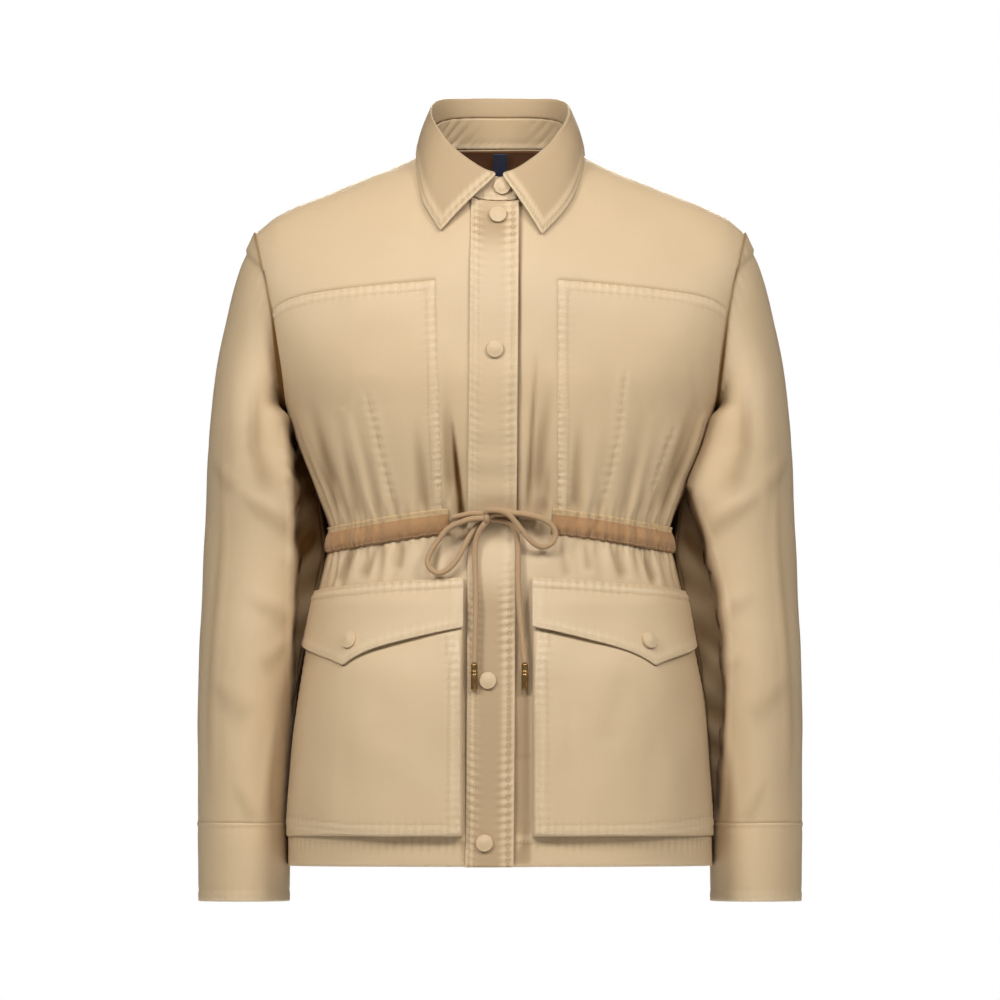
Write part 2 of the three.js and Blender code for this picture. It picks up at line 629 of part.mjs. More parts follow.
// Placket: a double strip sewn to the right front, lapping over the left front's edge. Its rows are
// the rows of the fronts beneath it.
const neckZ = (x) => {
  const turn = (Math.asin(Math.abs(x) / NECK_HALF) * 180) / Math.PI;
  return read(collar, "turn", "seam", turn);
};
const PLACKET_ACROSS = [PLACKET_SEWN, -16.5, -5.5, 5.5, PLACKET_FREE];
const placketX = (x, z) => x - (PLACKET_DRIFT * z) / HEM;
const placketFaces = [PLACKET_LIFT, PLACKET_LIFT + DOUBLE];
const frontLimits = [-200, 200, 0, -HEM];
const onFront = (x, z, faces) =>
  place((across, down) => frontPoint(across, -down), x, -z, frontLimits, faces, -1);
const placketZ = [
  ...[0.42, 0.62, 0.82, 1, 1.2, 1.5, 1.75, 2, ...waistRows.map((one) => one.row)].map(
    (row) => upperPlaces.right(RIGHT_EDGE, row).z,
  ),
  ...[{ row: 3 }, ...skirtRows].map(({ row }) => skirtPlaces.right(RIGHT_EDGE, row).z),
];
const placket = new Wall();
placket.rows([
  PLACKET_ACROSS.map((x) => onFront(placketX(x, neckZ(x)), neckZ(x) - 1, placketFaces)),
  ...placketZ.map((z) => PLACKET_ACROSS.map((x) => onFront(placketX(x, z), z, placketFaces))),
]);
addMesh("placket", placket.geometry(), CLOTH_FINISH);

// Bellows pockets: each face stands off the skirt on a gusset, which is deep beside the placket and
// fades to nothing at the side. A flap hangs over the open top from its own seam.
function pocketRound(hand, across, z) {
  return mix(roundAt(POCKET_INNER[hand], z), POCKET_OUTER, across);
}
function pocketLift(across, z) {
  const depth = POCKET_DEPTH * (1 - smoothstep(0.25, 0.95, across));
  return POCKET_LIFT + depth * mix(0.25, 1, smoothstep(POCKET_OPEN, POCKET_OPEN - 60, z));
}
const flapTop = (across) => -381 - 13 * across;
function flapEdge(across) {
  const inner = across < FLAP_POINT;
  const near = inner ? across / FLAP_POINT : (1 - across) / (1 - FLAP_POINT);
  return inner ? -424 - 27 * near - 7.5 * near ** 6 : -441 - 14 * near - 3.5 * near ** 6;
}
function flapSurface(side, hand) {
  return (across, down) => {
    const z = mix(flapTop(across), flapEdge(across), down);
    const over = pocketLift(across, Math.min(z, POCKET_OPEN)) + POCKET_CLOTH + 0.9;
    const lift = mix(1.1, over, smoothstep(flapTop(across), POCKET_OPEN + 4, z));
    return bodyPoint(side, pocketRound(hand, across, z), z, undefined, lift + 1.2 * down ** 2);
  };
}
const GUSSET = 2.5; // how far the gusset's foot lies outside the face's edge
const POCKET_ACROSS = [0, 0.018, ...range(0.1, 1, 0.1)];
const POCKET_ROWS = [...range(POCKET_OPEN, POCKET_BOTTOM + GUSSET, 33), POCKET_BOTTOM];
const snapPlaces = [];
for (const { side, hand } of SIDES) {
  const pocket = new Wall();
  pocket.rows(
    POCKET_ROWS.map((z, row) =>
      POCKET_ACROSS.map((across, column) => {
        const sewn = column === 0 || row === POCKET_ROWS.length - 1;
        const lift = sewn ? POCKET_LIFT : pocketLift(across, z);
        const point = bodyPoint(side, pocketRound(hand, across, z), z, undefined, lift);
        return { key: across, point };
      }),
    ),
  );
  pocket.thicken([0, POCKET_CLOTH], side);
  addMesh(`pocket_${hand}`, pocket.geometry(), CLOTH_FINISH);

  const flap = new Wall();
  const limits = [0, 1, 0, 1];
  const flapAcross = [0, 0.1, 0.2, 0.3, 0.37, 0.43, 0.47, 0.5, 0.53, 0.58, 0.65, 0.74, 0.83, 0.92, 1];
  const surface = flapSurface(side, hand);
  flap.rows(
    [0, 0.2, 0.45, 0.72, 1].map((down) =>
      flapAcross.map((at) => place(surface, at, down, limits, [0, DOUBLE], -side)),
    ),
  );
  addMesh(`flap_${hand}`, flap.geometry(), CLOTH_FINISH);
  const at = 0.485;
  const down = 0.72;
  snapPlaces.push({
    name: `snap_flap_${hand}`,
    at: place(surface, at, down, limits, [DOUBLE, DOUBLE + 0.4], -side),
  });
}

// Collar stand: a double strip standing on the neck seam, its two ends meeting under the collar.
// turn runs from the centre front over the wearer's right shoulder round the back.
const STAND_TOP = { half: 59, middle: -6, depth: 60 };
function collarRow(turn) {
  const folded = Math.abs(turn) > 180 ? 360 - Math.abs(turn) : Math.abs(turn);
  const names = ["seam", "stand", "fold", "right", "left", "edgeZ"];
  return Object.fromEntries(names.map((name) => [name, read(collar, "turn", name, folded)]));
}
const collarSide = (turn) => (turn >= 0 && turn < 180 ? -1 : 1);
const ringPoint = (turn, half, middle, depth, z) => {
  const angle = (turn * Math.PI) / 180;
  return new THREE.Vector3(-half * Math.sin(angle), middle - depth * Math.cos(angle), z);
};
function standPoint(turn, down) {
  const { seam, stand } = collarRow(turn);
  const angle = (turn * Math.PI) / 180;
  const x = Math.abs(NECK_HALF * Math.sin(angle));
  const round = Math.cos(angle) > 0 ? roundAt(x, seam) : 2 - roundAt(x, seam);
  const low = bodyPoint(collarSide(turn), round, seam).add(new THREE.Vector3(0, 0, 0.8));
  low.multiply(new THREE.Vector3(0.985, 0.985, 1));
  const { half, middle, depth } = STAND_TOP;
  return ringPoint(turn, half, middle, depth, stand).lerp(low, down);
}
const standTurns = [-13.6, -9, ...range(0, 342, 9), 345];
const stand = new Wall();
stand.rows(
  [0, 0.5, 1].map((down) => standTurns.map((turn) => ({ key: turn, point: standPoint(turn, down) }))),
);
stand.thicken([-DOUBLE / 2, DOUBLE / 2], -1);
addMesh("collar_stand", stand.geometry(), CLOTH_FINISH);

// Collar leaf: it rises from the stand's upper edge, rolls over and falls to an edge that lies on
// the yoke and the back. Its two front edges spread from the middle to the points.
const LEAF_TURNS = [5.2, 12, 18, ...range(27, 333, 9), 342, 348, 356.5];
const LEAF_CORE = new THREE.Vector3(0, 0, -90);
function leafPoint(turn, down) {
  const { stand: standZ, fold, right, left, edgeZ: outZ } = collarRow(turn);
  const outX = collarSide(turn) < 0 ? right : left;
  const ahead = Math.cos((turn * Math.PI) / 180) > 0;
  const { half, middle, depth } = STAND_TOP;
  const path = [
    ringPoint(turn, half, middle, depth, standZ + 1.4),
    ringPoint(turn, half + 0.6, middle - 0.2, depth + 0.8, mix(standZ, fold, 0.55)),
    ringPoint(turn, half + 3, middle - 0.6, depth + 3, fold),
    ringPoint(turn, half + 5.2, middle - 1, depth + 6.5, fold - 3.5),
  ];
  const round = ahead ? roundAt(outX, outZ) : 2 - roundAt(outX, outZ);
  const edge = bodyPoint(collarSide(turn), round, outZ);
  edge.addScaledVector(edge.clone().sub(LEAF_CORE).normalize(), 3.2);
  const corner = path[path.length - 1];
  for (const share of [0.33, 0.67, 1]) {
    const point = corner.clone().lerp(edge, share);
    const swell = 2.2 * Math.sin(Math.PI * share);
    path.push(point.addScaledVector(point.clone().sub(LEAF_CORE).normalize(), swell));
  }
  return path[down];
}
const leaf = new Wall();
leaf.rows(
  [0, 1, 2, 3, 4, 5, 6].map((down) =>
    LEAF_TURNS.map((turn) => ({ key: turn, point: leafPoint(turn, down) })),
  ),
);
leaf.thicken([-DOUBLE / 2, DOUBLE / 2], -1);
addMesh("collar_leaf", leaf.geometry(), CLOTH_FINISH);

// Back facing inside the neck, and the plain tab that hangs over it
const BROWN_FINISH = { color: 0x724d2b, roughness: 0.8, metalness: 0 };
const inside = (gap, thickness) => [-CLOTH - gap - thickness, -CLOTH - gap];
const backLimits = [-SIDE, SIDE, 0, 4];
const facing = new Wall();
facing.rows(
  BACK_ROWS.slice(1, 6).map((row) =>
    range(-2, 2, 0.5).map((at) => place(backSurface, at, row, backLimits, inside(0.4, 1))),
  ),
);
addMesh("back_facing", facing.geometry(), BROWN_FINISH);
const tab = new Wall();
tab.rows(
  [0.14, 0.35, 0.52, 0.64].map((row) =>
    [-0.15, 0, 0.15].map((at) => place(backSurface, at, row, backLimits, inside(2.8, 0.8))),
  ),
);
addMesh("neck_tab", tab.geometry(), { color: 0x26304f, roughness: 0.8, metalness: 0 });

// Snaps: cloth covered domes on the stand, the placket and the flaps
const snapOn = (x, z) => onFront(x, z, [PLACKET_LIFT + DOUBLE, PLACKET_LIFT + DOUBLE + 0.4]);
const standOut = place(standPoint, -1.8, 0.42, [-13, 13, 0, 1], [DOUBLE / 2, DOUBLE / 2 + 0.4], 1);
snapPlaces.push(
  { name: "snap_stand", at: standOut },
  { name: "snap_front_1", at: snapOn(-1.8, -56) },
  { name: "snap_front_2", at: snapOn(-4.5, -175.5) },
  { name: "snap_front_3", at: snapOn(-11, -472.5) },
  { name: "snap_front_4", at: snapOn(-14, -618) },
);
const { radius, height } = SNAP;
const snapProfile = [
  [0, 0],
  [radius - 0.5, 0],
  [radius, 0.45 * height],
  [0.8 * radius, 0.8 * height],
  [0.42 * radius, 0.96 * height],
  [0, height],
].map(([x, y]) => new THREE.Vector2(x, y));
for (const { name, at } of snapPlaces) {
  const snap = addMesh(name, new THREE.LatheGeometry(snapProfile, 14), CLOTH_FINISH);
  snap.position.copy(at.outer);
  const normal = at.outer.clone().sub(at.inner).normalize();
  snap.quaternion.setFromUnitVectors(new THREE.Vector3(0, 1, 0), normal);
}

// Drawcord bow: routes as half width, height and the cord's middle above the bare front. Each hand
// has a lead from the tape into the knot, a loop and a free end with a metal tip.
const routes = {
  cord_lead_right: [
    [-43, -326.5, 4.4],
    [-36, -325, 5.6],
    [-29, -323.5, 6.2],
    [-22.5, -322.8, 6.4],
    [-16.9, -323.1, 6.6],
  ],
  cord_loop_right: [
    [-17.4, -326.7, 12.2],
    [-24, -327.3, 13],
    [-33, -330, 12],
    [-45, -336, 10.5],
    [-53.5, -346, 9.5],
    [-60, -356, 9],
    [-63.5, -365, 9],
    [-61, -372, 9],
    [-54, -376, 9],
    [-46, -373, 9],
    [-38.5, -365, 9],
    [-33, -355, 8.5],
    [-28, -345, 7.5],
    [-22, -336, 6.4],
    [-15.7, -330, 6.1],
  ],
  cord_end_right: [
    [-13.9, -331.9, 12.2],
    [-17.5, -337, 11],
    [-21, -346, 8.8],
    [-22.3, -358, 7],
    [-22, -375, 6.2],
    [-21.6, -395, 5.9],
    [-21.8, -425, 5.9],
    [-22.8, -457, 6.1],
  ],
  cord_lead_left: [
    [38, -327.5, 4.4],
    [31, -325, 4],
    [24, -323.5, 4.8],
    [15, -322.2, 6.2],
    [4, -321, 5.9],
    [-7.2, -321.3, 6.9],
  ],
  cord_loop_left: [
    [-12, -320.9, 13.2],
    [-8, -319.5, 15.5],
    [-2, -319.8, 16.8],
    [4, -321.5, 17],
    [9.5, -325.5, 16.6],
    [15, -332, 15.5],
    [20.5, -339.5, 14],
    [27, -347, 12],
    [33, -351.5, 10.5],
    [40, -352.3, 9.6],
    [46, -348.5, 9.5],
    [48.6, -341, 9.5],
    [45.5, -333.5, 9.6],
    [38, -328, 10],
    [29, -325, 10.4],
    [20, -323.2, 11],
    [11, -322.6, 11.3],
    [3, -322.8, 11.5],
    [-6.4, -323.4, 12],
  ],
  cord_end_left: [
    [-5.7, -328, 6.9],
    [1, -328.8, 6],
    [7, -330.5, 5.9],
    [11.8, -334.5, 5.9],
    [14.6, -341, 5.9],
    [15.8, -352, 5.9],
    [16, -370, 5.9],
    [16.3, -392, 5.9],
    [18.8, -425, 5.9],
    [22, -457, 6.2],
  ],
};
const CORD_FINISH = { color: 0xb3997a, roughness: 0.9, metalness: 0 };
const cordSection = new THREE.Shape(
  range(0, 1, 1 / 8)
    .slice(0, -1)
    .map((share) => new THREE.Vector2(CORD / 2, 0).rotateAround(new THREE.Vector2(), share * 2 * Math.PI)),
);
const CORD_STEP = 9;
for (const [name, route] of Object.entries(routes)) {
  const path = new THREE.CatmullRomCurve3(route.map(([x, z, above]) => frontPoint(x, z, above)));
  const steps = Math.round(path.getLength() / CORD_STEP);
  const geometry = new THREE.ExtrudeGeometry(cordSection, { steps, extrudePath: path });
  addMesh(name, geometry, CORD_FINISH);
}
const knot = addMesh("bow_knot", new THREE.SphereGeometry(5.3, 12, 8), CORD_FINISH);
knot.position.copy(frontPoint(-11.7, -326, 9.2));
for (const { hand } of SIDES) {
  const route = routes[`cord_end_${hand}`];
  const [x, z, above] = route[route.length - 1];
  const { diameter, length } = CORD_END;
  const tip = new THREE.CylinderGeometry(diameter / 2, diameter / 2, length, 12);
  const mesh = addMesh(`cord_tip_${hand}`, tip, { color: 0x856941, roughness: 0.4, metalness: 1 });
  const start = frontPoint(x, z, above);
  const end = frontPoint(x, z - length, above);
  const axis = start.clone().sub(end).normalize();
  mesh.position.copy(start).addScaledVector(axis, -SEAM - length / 2);
  mesh.quaternion.setFromUnitVectors(new THREE.Vector3(0, 1, 0), axis);
}

export default jacket;
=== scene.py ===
import bpy
import numpy as np
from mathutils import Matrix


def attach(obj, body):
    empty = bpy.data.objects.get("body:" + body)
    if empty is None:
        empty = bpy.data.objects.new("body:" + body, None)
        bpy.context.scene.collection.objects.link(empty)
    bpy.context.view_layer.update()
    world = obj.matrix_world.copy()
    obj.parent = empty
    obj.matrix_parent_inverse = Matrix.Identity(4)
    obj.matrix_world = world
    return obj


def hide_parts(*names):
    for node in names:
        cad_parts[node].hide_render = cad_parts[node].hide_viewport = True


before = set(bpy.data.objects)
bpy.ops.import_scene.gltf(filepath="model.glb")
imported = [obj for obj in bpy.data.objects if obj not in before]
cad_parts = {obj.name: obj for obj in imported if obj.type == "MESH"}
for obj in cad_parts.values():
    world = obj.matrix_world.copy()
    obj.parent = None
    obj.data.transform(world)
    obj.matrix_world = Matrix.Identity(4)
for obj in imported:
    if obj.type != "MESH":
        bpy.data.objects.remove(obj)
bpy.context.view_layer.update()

# The camera looks straight at the front from far off, level with the middle of the photograph,
# where one pixel is 0.9 mm of the jacket.
CAMERA_AWAY = 30.0
PICTURE_WIDTH = 0.9
PICTURE_MIDDLE = -0.3105

camera_data = bpy.data.cameras.new("camera")
camera_data.sensor_width = 36
camera_data.lens = 36 * CAMERA_AWAY / PICTURE_WIDTH
camera = bpy.data.objects.new("camera", camera_data)
camera.location = (0, -CAMERA_AWAY, PICTURE_MIDDLE)
camera.rotation_euler = (np.pi / 2, 0, 0)
bpy.context.scene.collection.objects.link(camera)
bpy.context.scene.camera = camera

# The cloth: a smooth tan cotton gabardine, cut in panels that follow the wearer's body. This section
# holds the body's shape, which every panel lies on, and the way one layer of cloth is made.
# Millimetres, measured from the middle of the neck; x grows towards the wearer's left.
CLOTH = 1.2
DOUBLE = 2.0
HEM = -639
ARMPIT = -230
YOKE_SEAM = -113
WAIST_FRONT = -327
WAIST_FALL = 20
TAPE_HALF = 11
ROUND = 2.4
SHOULDER_TIP = 220
FRONT_CURVE = 140
BACK_CURVE = 75
SIDE = 10
CENTRE_BACK = 20
STRIP = 1.75
STRIP_WIDENS = 6
NECK = 2.5
NECK_HALF = 66


def table(names, rows):
    """Named columns of a table, its rows put in rising order of the first column."""
    return dict(zip(names.split(), np.array(sorted(rows), float).T))


BODY = table(
    "z half front back",
    [
        (60, 254, 76, 82),
        (-42, 248, 83, 88),
        (-72, 243, 90, 95),
        (-100, 236, 97, 100),
        (-141, 225, 106, 104),
        (-196, 209, 113, 102),
        (ARMPIT, 193, 111, 98),
        (-265, 181, 106, 93),
        (-305, 164, 97, 85),
        (-340, 152, 91, 79),
        (-370, 157, 97, 87),
        (-400, 165, 104, 96),
        (-436, 171, 111, 103),
        (-490, 181, 119, 110),
        (-580, 189, 127, 116),
        (HEM, 191, 130, 118),
    ],
)
SHOULDER = table(
    "x z",
    [(0, 29), (20, 26.5), (40, 18.5), (56, 9.5), (66, 3.5), (99, -12), (151, -33), (200, -55), (220, -71)],
)
ARMHOLE = table("z x", [(-71, 220), (-100, 212), (-141, 205), (-196, 198), (-217, 195.5), (ARMPIT, 193)])
COLLAR = table(
    "turn seam stand fold right left edge",
    [
        (0, -42, -21, -18, 46, 30.5, -78),
        (12, -41, -18.5, -14, 58.5, 50, -58),
        (25, -37, -12.5, -6, 65.5, 59.4, -46),
        (44, -26, -3, 7, 70, 66.7, -32),
        (60, -14, 8, 21, 72.5, 71, -18),
        (75, -4.5, 16, 31, 73, 72.6, -8),
        (90, 3.5, 23, 39, 73, 73, -0.5),
        (105, 5, 27, 45.5, 72, 72, -5),
        (125, 5.5, 31, 49.5, 61, 61, -14),
        (150, 5.5, 33, 50, 33, 33, -18),
        (180, 5.5, 33, 50, 0, 0, -19),
    ],
)


def cubic(start, rise, leave, arrive, t):
    """A cubic from start over a rise, with the slopes leave and arrive at its two ends."""
    return start + t * (leave + t * (3 * rise - 2 * leave - arrive + t * (leave + arrive - 2 * rise)))


def along(columns, name, place):
    """A smooth curve through one column of a table, against its first: a cubic between two rows,
    whose slope at each row is that of the line through the rows beside it."""
    keys, values = columns[next(iter(columns))], columns[name]
    slopes = np.gradient(values, keys, edge_order=1)
    slopes[1:-1] = (values[2:] - values[:-2]) / (keys[2:] - keys[:-2])
    place = np.clip(place, keys[0], keys[-1])
    row = np.clip(np.searchsorted(keys, place, side="right") - 1, 0, len(keys) - 2)
    span = keys[row + 1] - keys[row]
    t = (place - keys[row]) / span
    rise = values[row + 1] - values[row]
    return cubic(values[row], rise, slopes[row] * span, slopes[row + 1] * span, t)


def smooth(start, end, value):
    """0 before start, 1 past end and an S between them."""
    t = np.clip((value - start) / (end - start), 0, 1)
    return t * t * (3 - 2 * t)


def mix(a, b, share):
    """The value a share of the way from a to b."""
    return a + (b - a) * share


def bell(distance, width):
    """1 at no distance, falling off to both sides over a width."""
    return np.exp(-((distance / width) ** 2))


def fading(distance, width):
    """1 at an edge and less with the distance from it."""
    return np.exp(-distance / width)


def unit(vectors):
    """Vectors brought to length 1."""
    return vectors / np.linalg.norm(vectors, axis=-1, keepdims=True)


def round_at(x, z):
    """How far round the body a point at half width x lies: 0 centre front, 1 side seam."""
    share = np.clip(np.abs(x) / along(BODY, "half", z), 0, 1)
    return np.sign(x) * 2 * np.arcsin(share ** (ROUND / 2)) / np.pi


def body_point(side, around, z, lift=0.0):
    """A point lift millimetres off the body. A section is an oval of power 2.4 whose half width and
    depths come from the table; near the shoulders its depth shrinks as a quarter circle does."""
    side, around, z = np.broadcast_arrays(side, around, z)
    half = along(BODY, "half", z)
    ahead = np.abs(around) < 1
    depth = np.where(ahead, along(BODY, "front", z), along(BODY, "back", z))
    sine, cosine = np.sin(around * np.pi / 2), np.abs(np.cos(around * np.pi / 2))
    across = np.sign(sine) * np.abs(sine) ** (2 / ROUND)
    ahead_share = cosine ** (2 / ROUND)
    x = half * across
    drop = (along(SHOULDER, "z", np.abs(x)) - z) / np.where(ahead, FRONT_CURVE, BACK_CURVE)
    bend = np.sqrt(1 - (1 - np.clip(drop, 0, 1)) ** 2)
    facing = np.where(ahead, -1, 1)
    out_x = np.sign(across) * np.abs(across) ** (ROUND - 1) / half
    out_y = facing * ahead_share ** (ROUND - 1) / depth
    length = np.hypot(out_x, out_y)
    y = facing * depth * ahead_share * bend
    return np.stack([side * (x + out_x / length * lift), y + out_y / length * lift, z + 0 * x], -1)


def waist_height(around):
    """The middle of the waist tape: lower at the sides than at the centre front."""
    turned = np.sin(np.clip(np.abs(around), 0, 1) * np.pi / 2)
    return WAIST_FRONT - WAIST_FALL * turned**1.33 + 3 * np.clip(around - 1, 0, None)


def gather_lift(side, gathers, around, z):
    """Waves of the cloth that the cord draws in: a cosine with one wave to a gather, unevenly spaced,
    pressed low under the tape and fading up and down; less two deep folds beside the placket."""
    hand = side * smooth(11, 9, gathers)
    above = z - waist_height(around)
    spaced = gathers + 0.11 * np.sin(1.9 * gathers + 2 * hand)
    reach = np.where(above > 0, 60 + 24 * np.sin(1.7 * gathers + hand), 36 + 9 * np.sin(2.1 * gathers))
    height = 2.9 * (0.8 + 0.25 * np.sin(2.3 * gathers + 2 * hand)) * smooth(0.7, 1.5, gathers)
    pressed = 0.4 + 0.6 * smooth(9, 24, np.abs(above))
    wave = height * pressed * bell(above, reach) * np.cos(2 * np.pi * spaced)
    fine = 0.9 * bell(np.abs(above) - 13, 9) * smooth(0.7, 1.5, gathers)
    wave = wave + fine * np.cos(2 * np.pi * 2.6 * gathers + 2.5 * np.sin(1.1 * gathers + side))
    fold_top = np.where(side < 0, 125, 150)
    fold = bell(gathers - 1.12, 0.2) * smooth(fold_top, 0, above)
    return wave - 3.6 * fold * np.where(above > 0, 1, bell(above, 30))


def creases(rows, x, z):
    """Long soft folds: each row gives two ends, a width and a depth. Across its line a crease is a
    valley between two low ridges; it widens along its way and fades towards its ends."""
    lift = 0.0
    for x0, z0, x1, z1, width, depth in rows:
        length = np.hypot(x1 - x0, z1 - z0)
        share = ((x - x0) * (x1 - x0) + (z - z0) * (z1 - z0)) / length**2
        aside = ((x - x0) * (z1 - z0) - (z - z0) * (x1 - x0)) / length / width
        aside = aside / mix(0.55, 1.1, np.clip(share, 0, 1))
        fade = smooth(-0.08, 0.5, share) * smooth(1.1, 0.85, share)
        lift = lift - depth * fade * (1 - 0.7 * aside**2) * np.exp(-(aside**2))
    return lift


def slack(x, y, z, size):
    """Slight unevenness of cloth that has seen wear: four slow sine waves that run in different directions.
    """
    return size * (
        np.sin(x / 23 + 1.3 * np.sin(z / 41))
        + np.sin(z / 31 + 1.7 * np.sin(x / 37) + y / 50)
        + 0.6 * np.sin((x + z) / 13 + y / 21)
        + 0.5 * np.sin((x - 0.6 * z) / 9.5)
    )


def recess(x, z):
    """Between the two pockets the front falls back a little."""
    return -3.5 * smooth(33, 27, np.abs(x + 3)) * smooth(-372, -415, z)


def normals(points, facing=1, closed=False):
    """Unit normals of a grid of points: the cross product of its run along a row and down a column."""
    if closed:
        wrapped = np.concatenate([points[:, -1:], points, points[:, :1]], 1)
        run = np.gradient(wrapped, axis=1)[:, 1:-1]
    else:
        run = np.gradient(points, axis=1)
    normal = facing * np.cross(run, np.gradient(points, axis=0))
    return unit(normal)


def arcs(points):
    """Distances over a grid of points, in millimetres: from its left, right, top and bottom edge."""
    run = np.linalg.norm(np.diff(points, axis=1), axis=-1)
    fall = np.linalg.norm(np.diff(points, axis=0), axis=-1)
    left = np.concatenate([np.zeros((len(points), 1)), np.cumsum(run, 1)], 1)
    top = np.concatenate([np.zeros((1, points.shape[1])), np.cumsum(fall, 0)], 0)
    return {"left": left, "right": left[:, -1:] - left, "top": top, "bottom": top[-1:] - top}


def stitched(distance, beside, rows, pull=0.3, puckered=0.4):
    """Relief of a stitched edge: a groove under each row of stitches, a low swell between them, and
    uneven puckers that run out from the first row at every second or third stitch."""
    lift = 0.3 * bell(distance - rows[0] - 3.5, 3)
    for row in rows:
        lift = lift - pull * bell(distance - row, 1.1)
    puckers = np.sin(2 * np.pi * beside / 7.3 + 1.4 * np.sin(beside / 19))
    puckers = puckers * (0.6 + 0.4 * np.sin(beside / 27))
    return lift + puckered * puckers * bell(distance - rows[0], 7)


def seam(distance):
    """Relief of a plain seam: the cloth turns down into it over two millimetres."""
    return -0.55 * bell(distance, 1.6)


def placed(name, mesh, material, flat=None):
    """A smooth object from a mesh and its material; flat gives each vertex's place on the flat cloth."""
    mesh.shade_smooth()
    if flat is not None:
        corners = np.empty(len(mesh.loops), np.int32)
        mesh.loops.foreach_get("vertex_index", corners)
        layer = mesh.uv_layers.new(name="cloth")
        layer.data.foreach_set("uv", flat[corners].astype(np.float32).ravel())
    mesh.materials.append(material)
    made = bpy.data.objects.new(name, mesh)
    bpy.context.scene.collection.objects.link(made)
    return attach(made, "root")


def cloth_piece(name, outer, thickness, material, facing=1, closed=False, keep=None, wear_and_shade=None):
    """One layer of cloth as a closed mesh. outer is a grid of points on its outer face; the inner face
    is the same grid moved in by the thickness, and a rim with a rounded middle line joins the two.
    closed joins the last column to the first, keep drops faces, and the mask for the material gives the
    pale bloom of wear above 0 and painted shade below 0."""
    rows, columns = outer.shape[:2]
    normal = normals(outer, facing, closed)
    index = np.arange(rows * columns).reshape(rows, columns)
    if closed:
        index = np.concatenate([index, index[:, :1]], 1)
    corners = [index[:-1, :-1], index[:-1, 1:], index[1:, 1:], index[1:, :-1]]
    faces = np.stack(corners if facing > 0 else corners[::-1], -1)
    faces = faces[keep] if keep is not None else faces.reshape(-1, 4)
    used, faces = np.unique(faces, return_inverse=True)
    faces = faces.reshape(-1, 4)
    points, normal = outer.reshape(-1, 3)[used], normal.reshape(-1, 3)[used]
    count = len(points)

    edges = np.concatenate([faces[:, [k, (k + 1) % 4]] for k in range(4)])
    forward, backward = edges[:, 0] * count + edges[:, 1], edges[:, 1] * count + edges[:, 0]
    border = edges[~np.isin(forward, backward)]
    outward = np.zeros((count, 3))
    for end in (0, 1):
        run = points[border[:, 1]] - points[border[:, 0]]
        np.add.at(outward, border[:, end], np.cross(run, normal[border[:, end]]))
    rim, rim_index = np.unique(border, return_inverse=True)
    rim_index = rim_index.reshape(-1, 2) + 2 * count
    out = outward[rim] / np.maximum(np.linalg.norm(outward[rim], axis=-1, keepdims=True), 1e-9)
    middle = points[rim] - normal[rim] * thickness / 2 + out * 0.3 * thickness
    inner = points - normal * thickness
    a, b = border.T
    middle_a, middle_b = rim_index.T
    faces = np.concatenate(
        [
            faces,
            faces[:, ::-1] + count,
            np.stack([b, a, middle_a, middle_b], -1),
            np.stack([middle_b, middle_a, a + count, b + count], -1),
        ]
    )

    measured = arcs(np.concatenate([outer, outer[:, :1]], 1) if closed else outer)
    from_left = measured["left"][:, :columns]
    flat = [from_left - from_left.mean(1, keepdims=True), measured["top"]]
    flat = np.stack([part.reshape(-1)[used] for part in flat], -1) / 1000
    flat = np.concatenate([flat, flat, flat[rim]])
    shade = np.broadcast_to(0.0 if wear_and_shade is None else wear_and_shade, (rows, columns)).reshape(-1)
    shade = np.concatenate([shade[used], shade[used], shade[used][rim]])

    mesh = bpy.data.meshes.new(name)
    every = np.concatenate([points, inner, middle]) / 1000
    mesh.vertices.add(len(every))
    mesh.vertices.foreach_set("co", every.astype(np.float32).ravel())
    mesh.loops.add(faces.size)
    mesh.loops.foreach_set("vertex_index", faces.ravel().astype(np.int32))
    mesh.polygons.add(len(faces))
    mesh.polygons.foreach_set("loop_start", np.arange(0, faces.size, 4, dtype=np.int32))
    mesh.update(calc_edges=True)
    wear_and_shade_layer = mesh.attributes.new("wear_and_shade", "FLOAT", "POINT")
    wear_and_shade_layer.data.foreach_set("value", shade.astype(np.float32))
    return placed(name, mesh, material, flat)


def node(tree, kind, inputs, **settings):
    """A shader node with its settings, and its inputs, by name or identifier, set or linked."""
    made = tree.nodes.new(kind)
    for name, value in settings.items():
        setattr(made, name, value)
    sockets = {socket.identifier: socket for socket in made.inputs}
    for name, value in inputs.items():
        socket = sockets.get(name) or made.inputs[name]
        if isinstance(value, bpy.types.NodeSocket):
            tree.links.new(value, socket)
        else:
            socket.default_value = value
    return made


def spread(tree, value, low, high, to_low, to_high):
    """A value whose range from low to high is spread over another range."""
    ends = {"From Min": low, "From Max": high, "To Min": to_low, "To Max": to_high}
    return node(tree, "ShaderNodeMapRange", {"Value": value, **ends}).outputs[0]


def blend(tree, share, first, second):
    """The colour a share of the way from the first to the second."""
    ends = {"Factor_Float": share, "A_Color": first, "B_Color": second}
    return node(tree, "ShaderNodeMix", ends, data_type="RGBA").outputs[2]


def reckon(tree, operation, *values):
    """One step of arithmetic on one or two values."""
    return node(tree, "ShaderNodeMath", dict(enumerate(values)), operation=operation).outputs[0]


def noise(tree, place, scale, detail, **more):
    """Noise over a place, from its scale, its detail and any further inputs."""
    inputs = {"Vector": place, "Scale": scale, "Detail": detail, **more}
    return node(tree, "ShaderNodeTexNoise", inputs).outputs["Fac"]


def stripes(tree, place, direction, scale, distortion, detail_scale):
    """Slightly wavy stripes across a place."""
    inputs = {"Vector": place, "Scale": scale, "Distortion": distortion, "Detail": 1.0}
    inputs["Detail Scale"] = detail_scale
    return node(tree, "ShaderNodeTexWave", inputs, bands_direction=direction).outputs["Fac"]


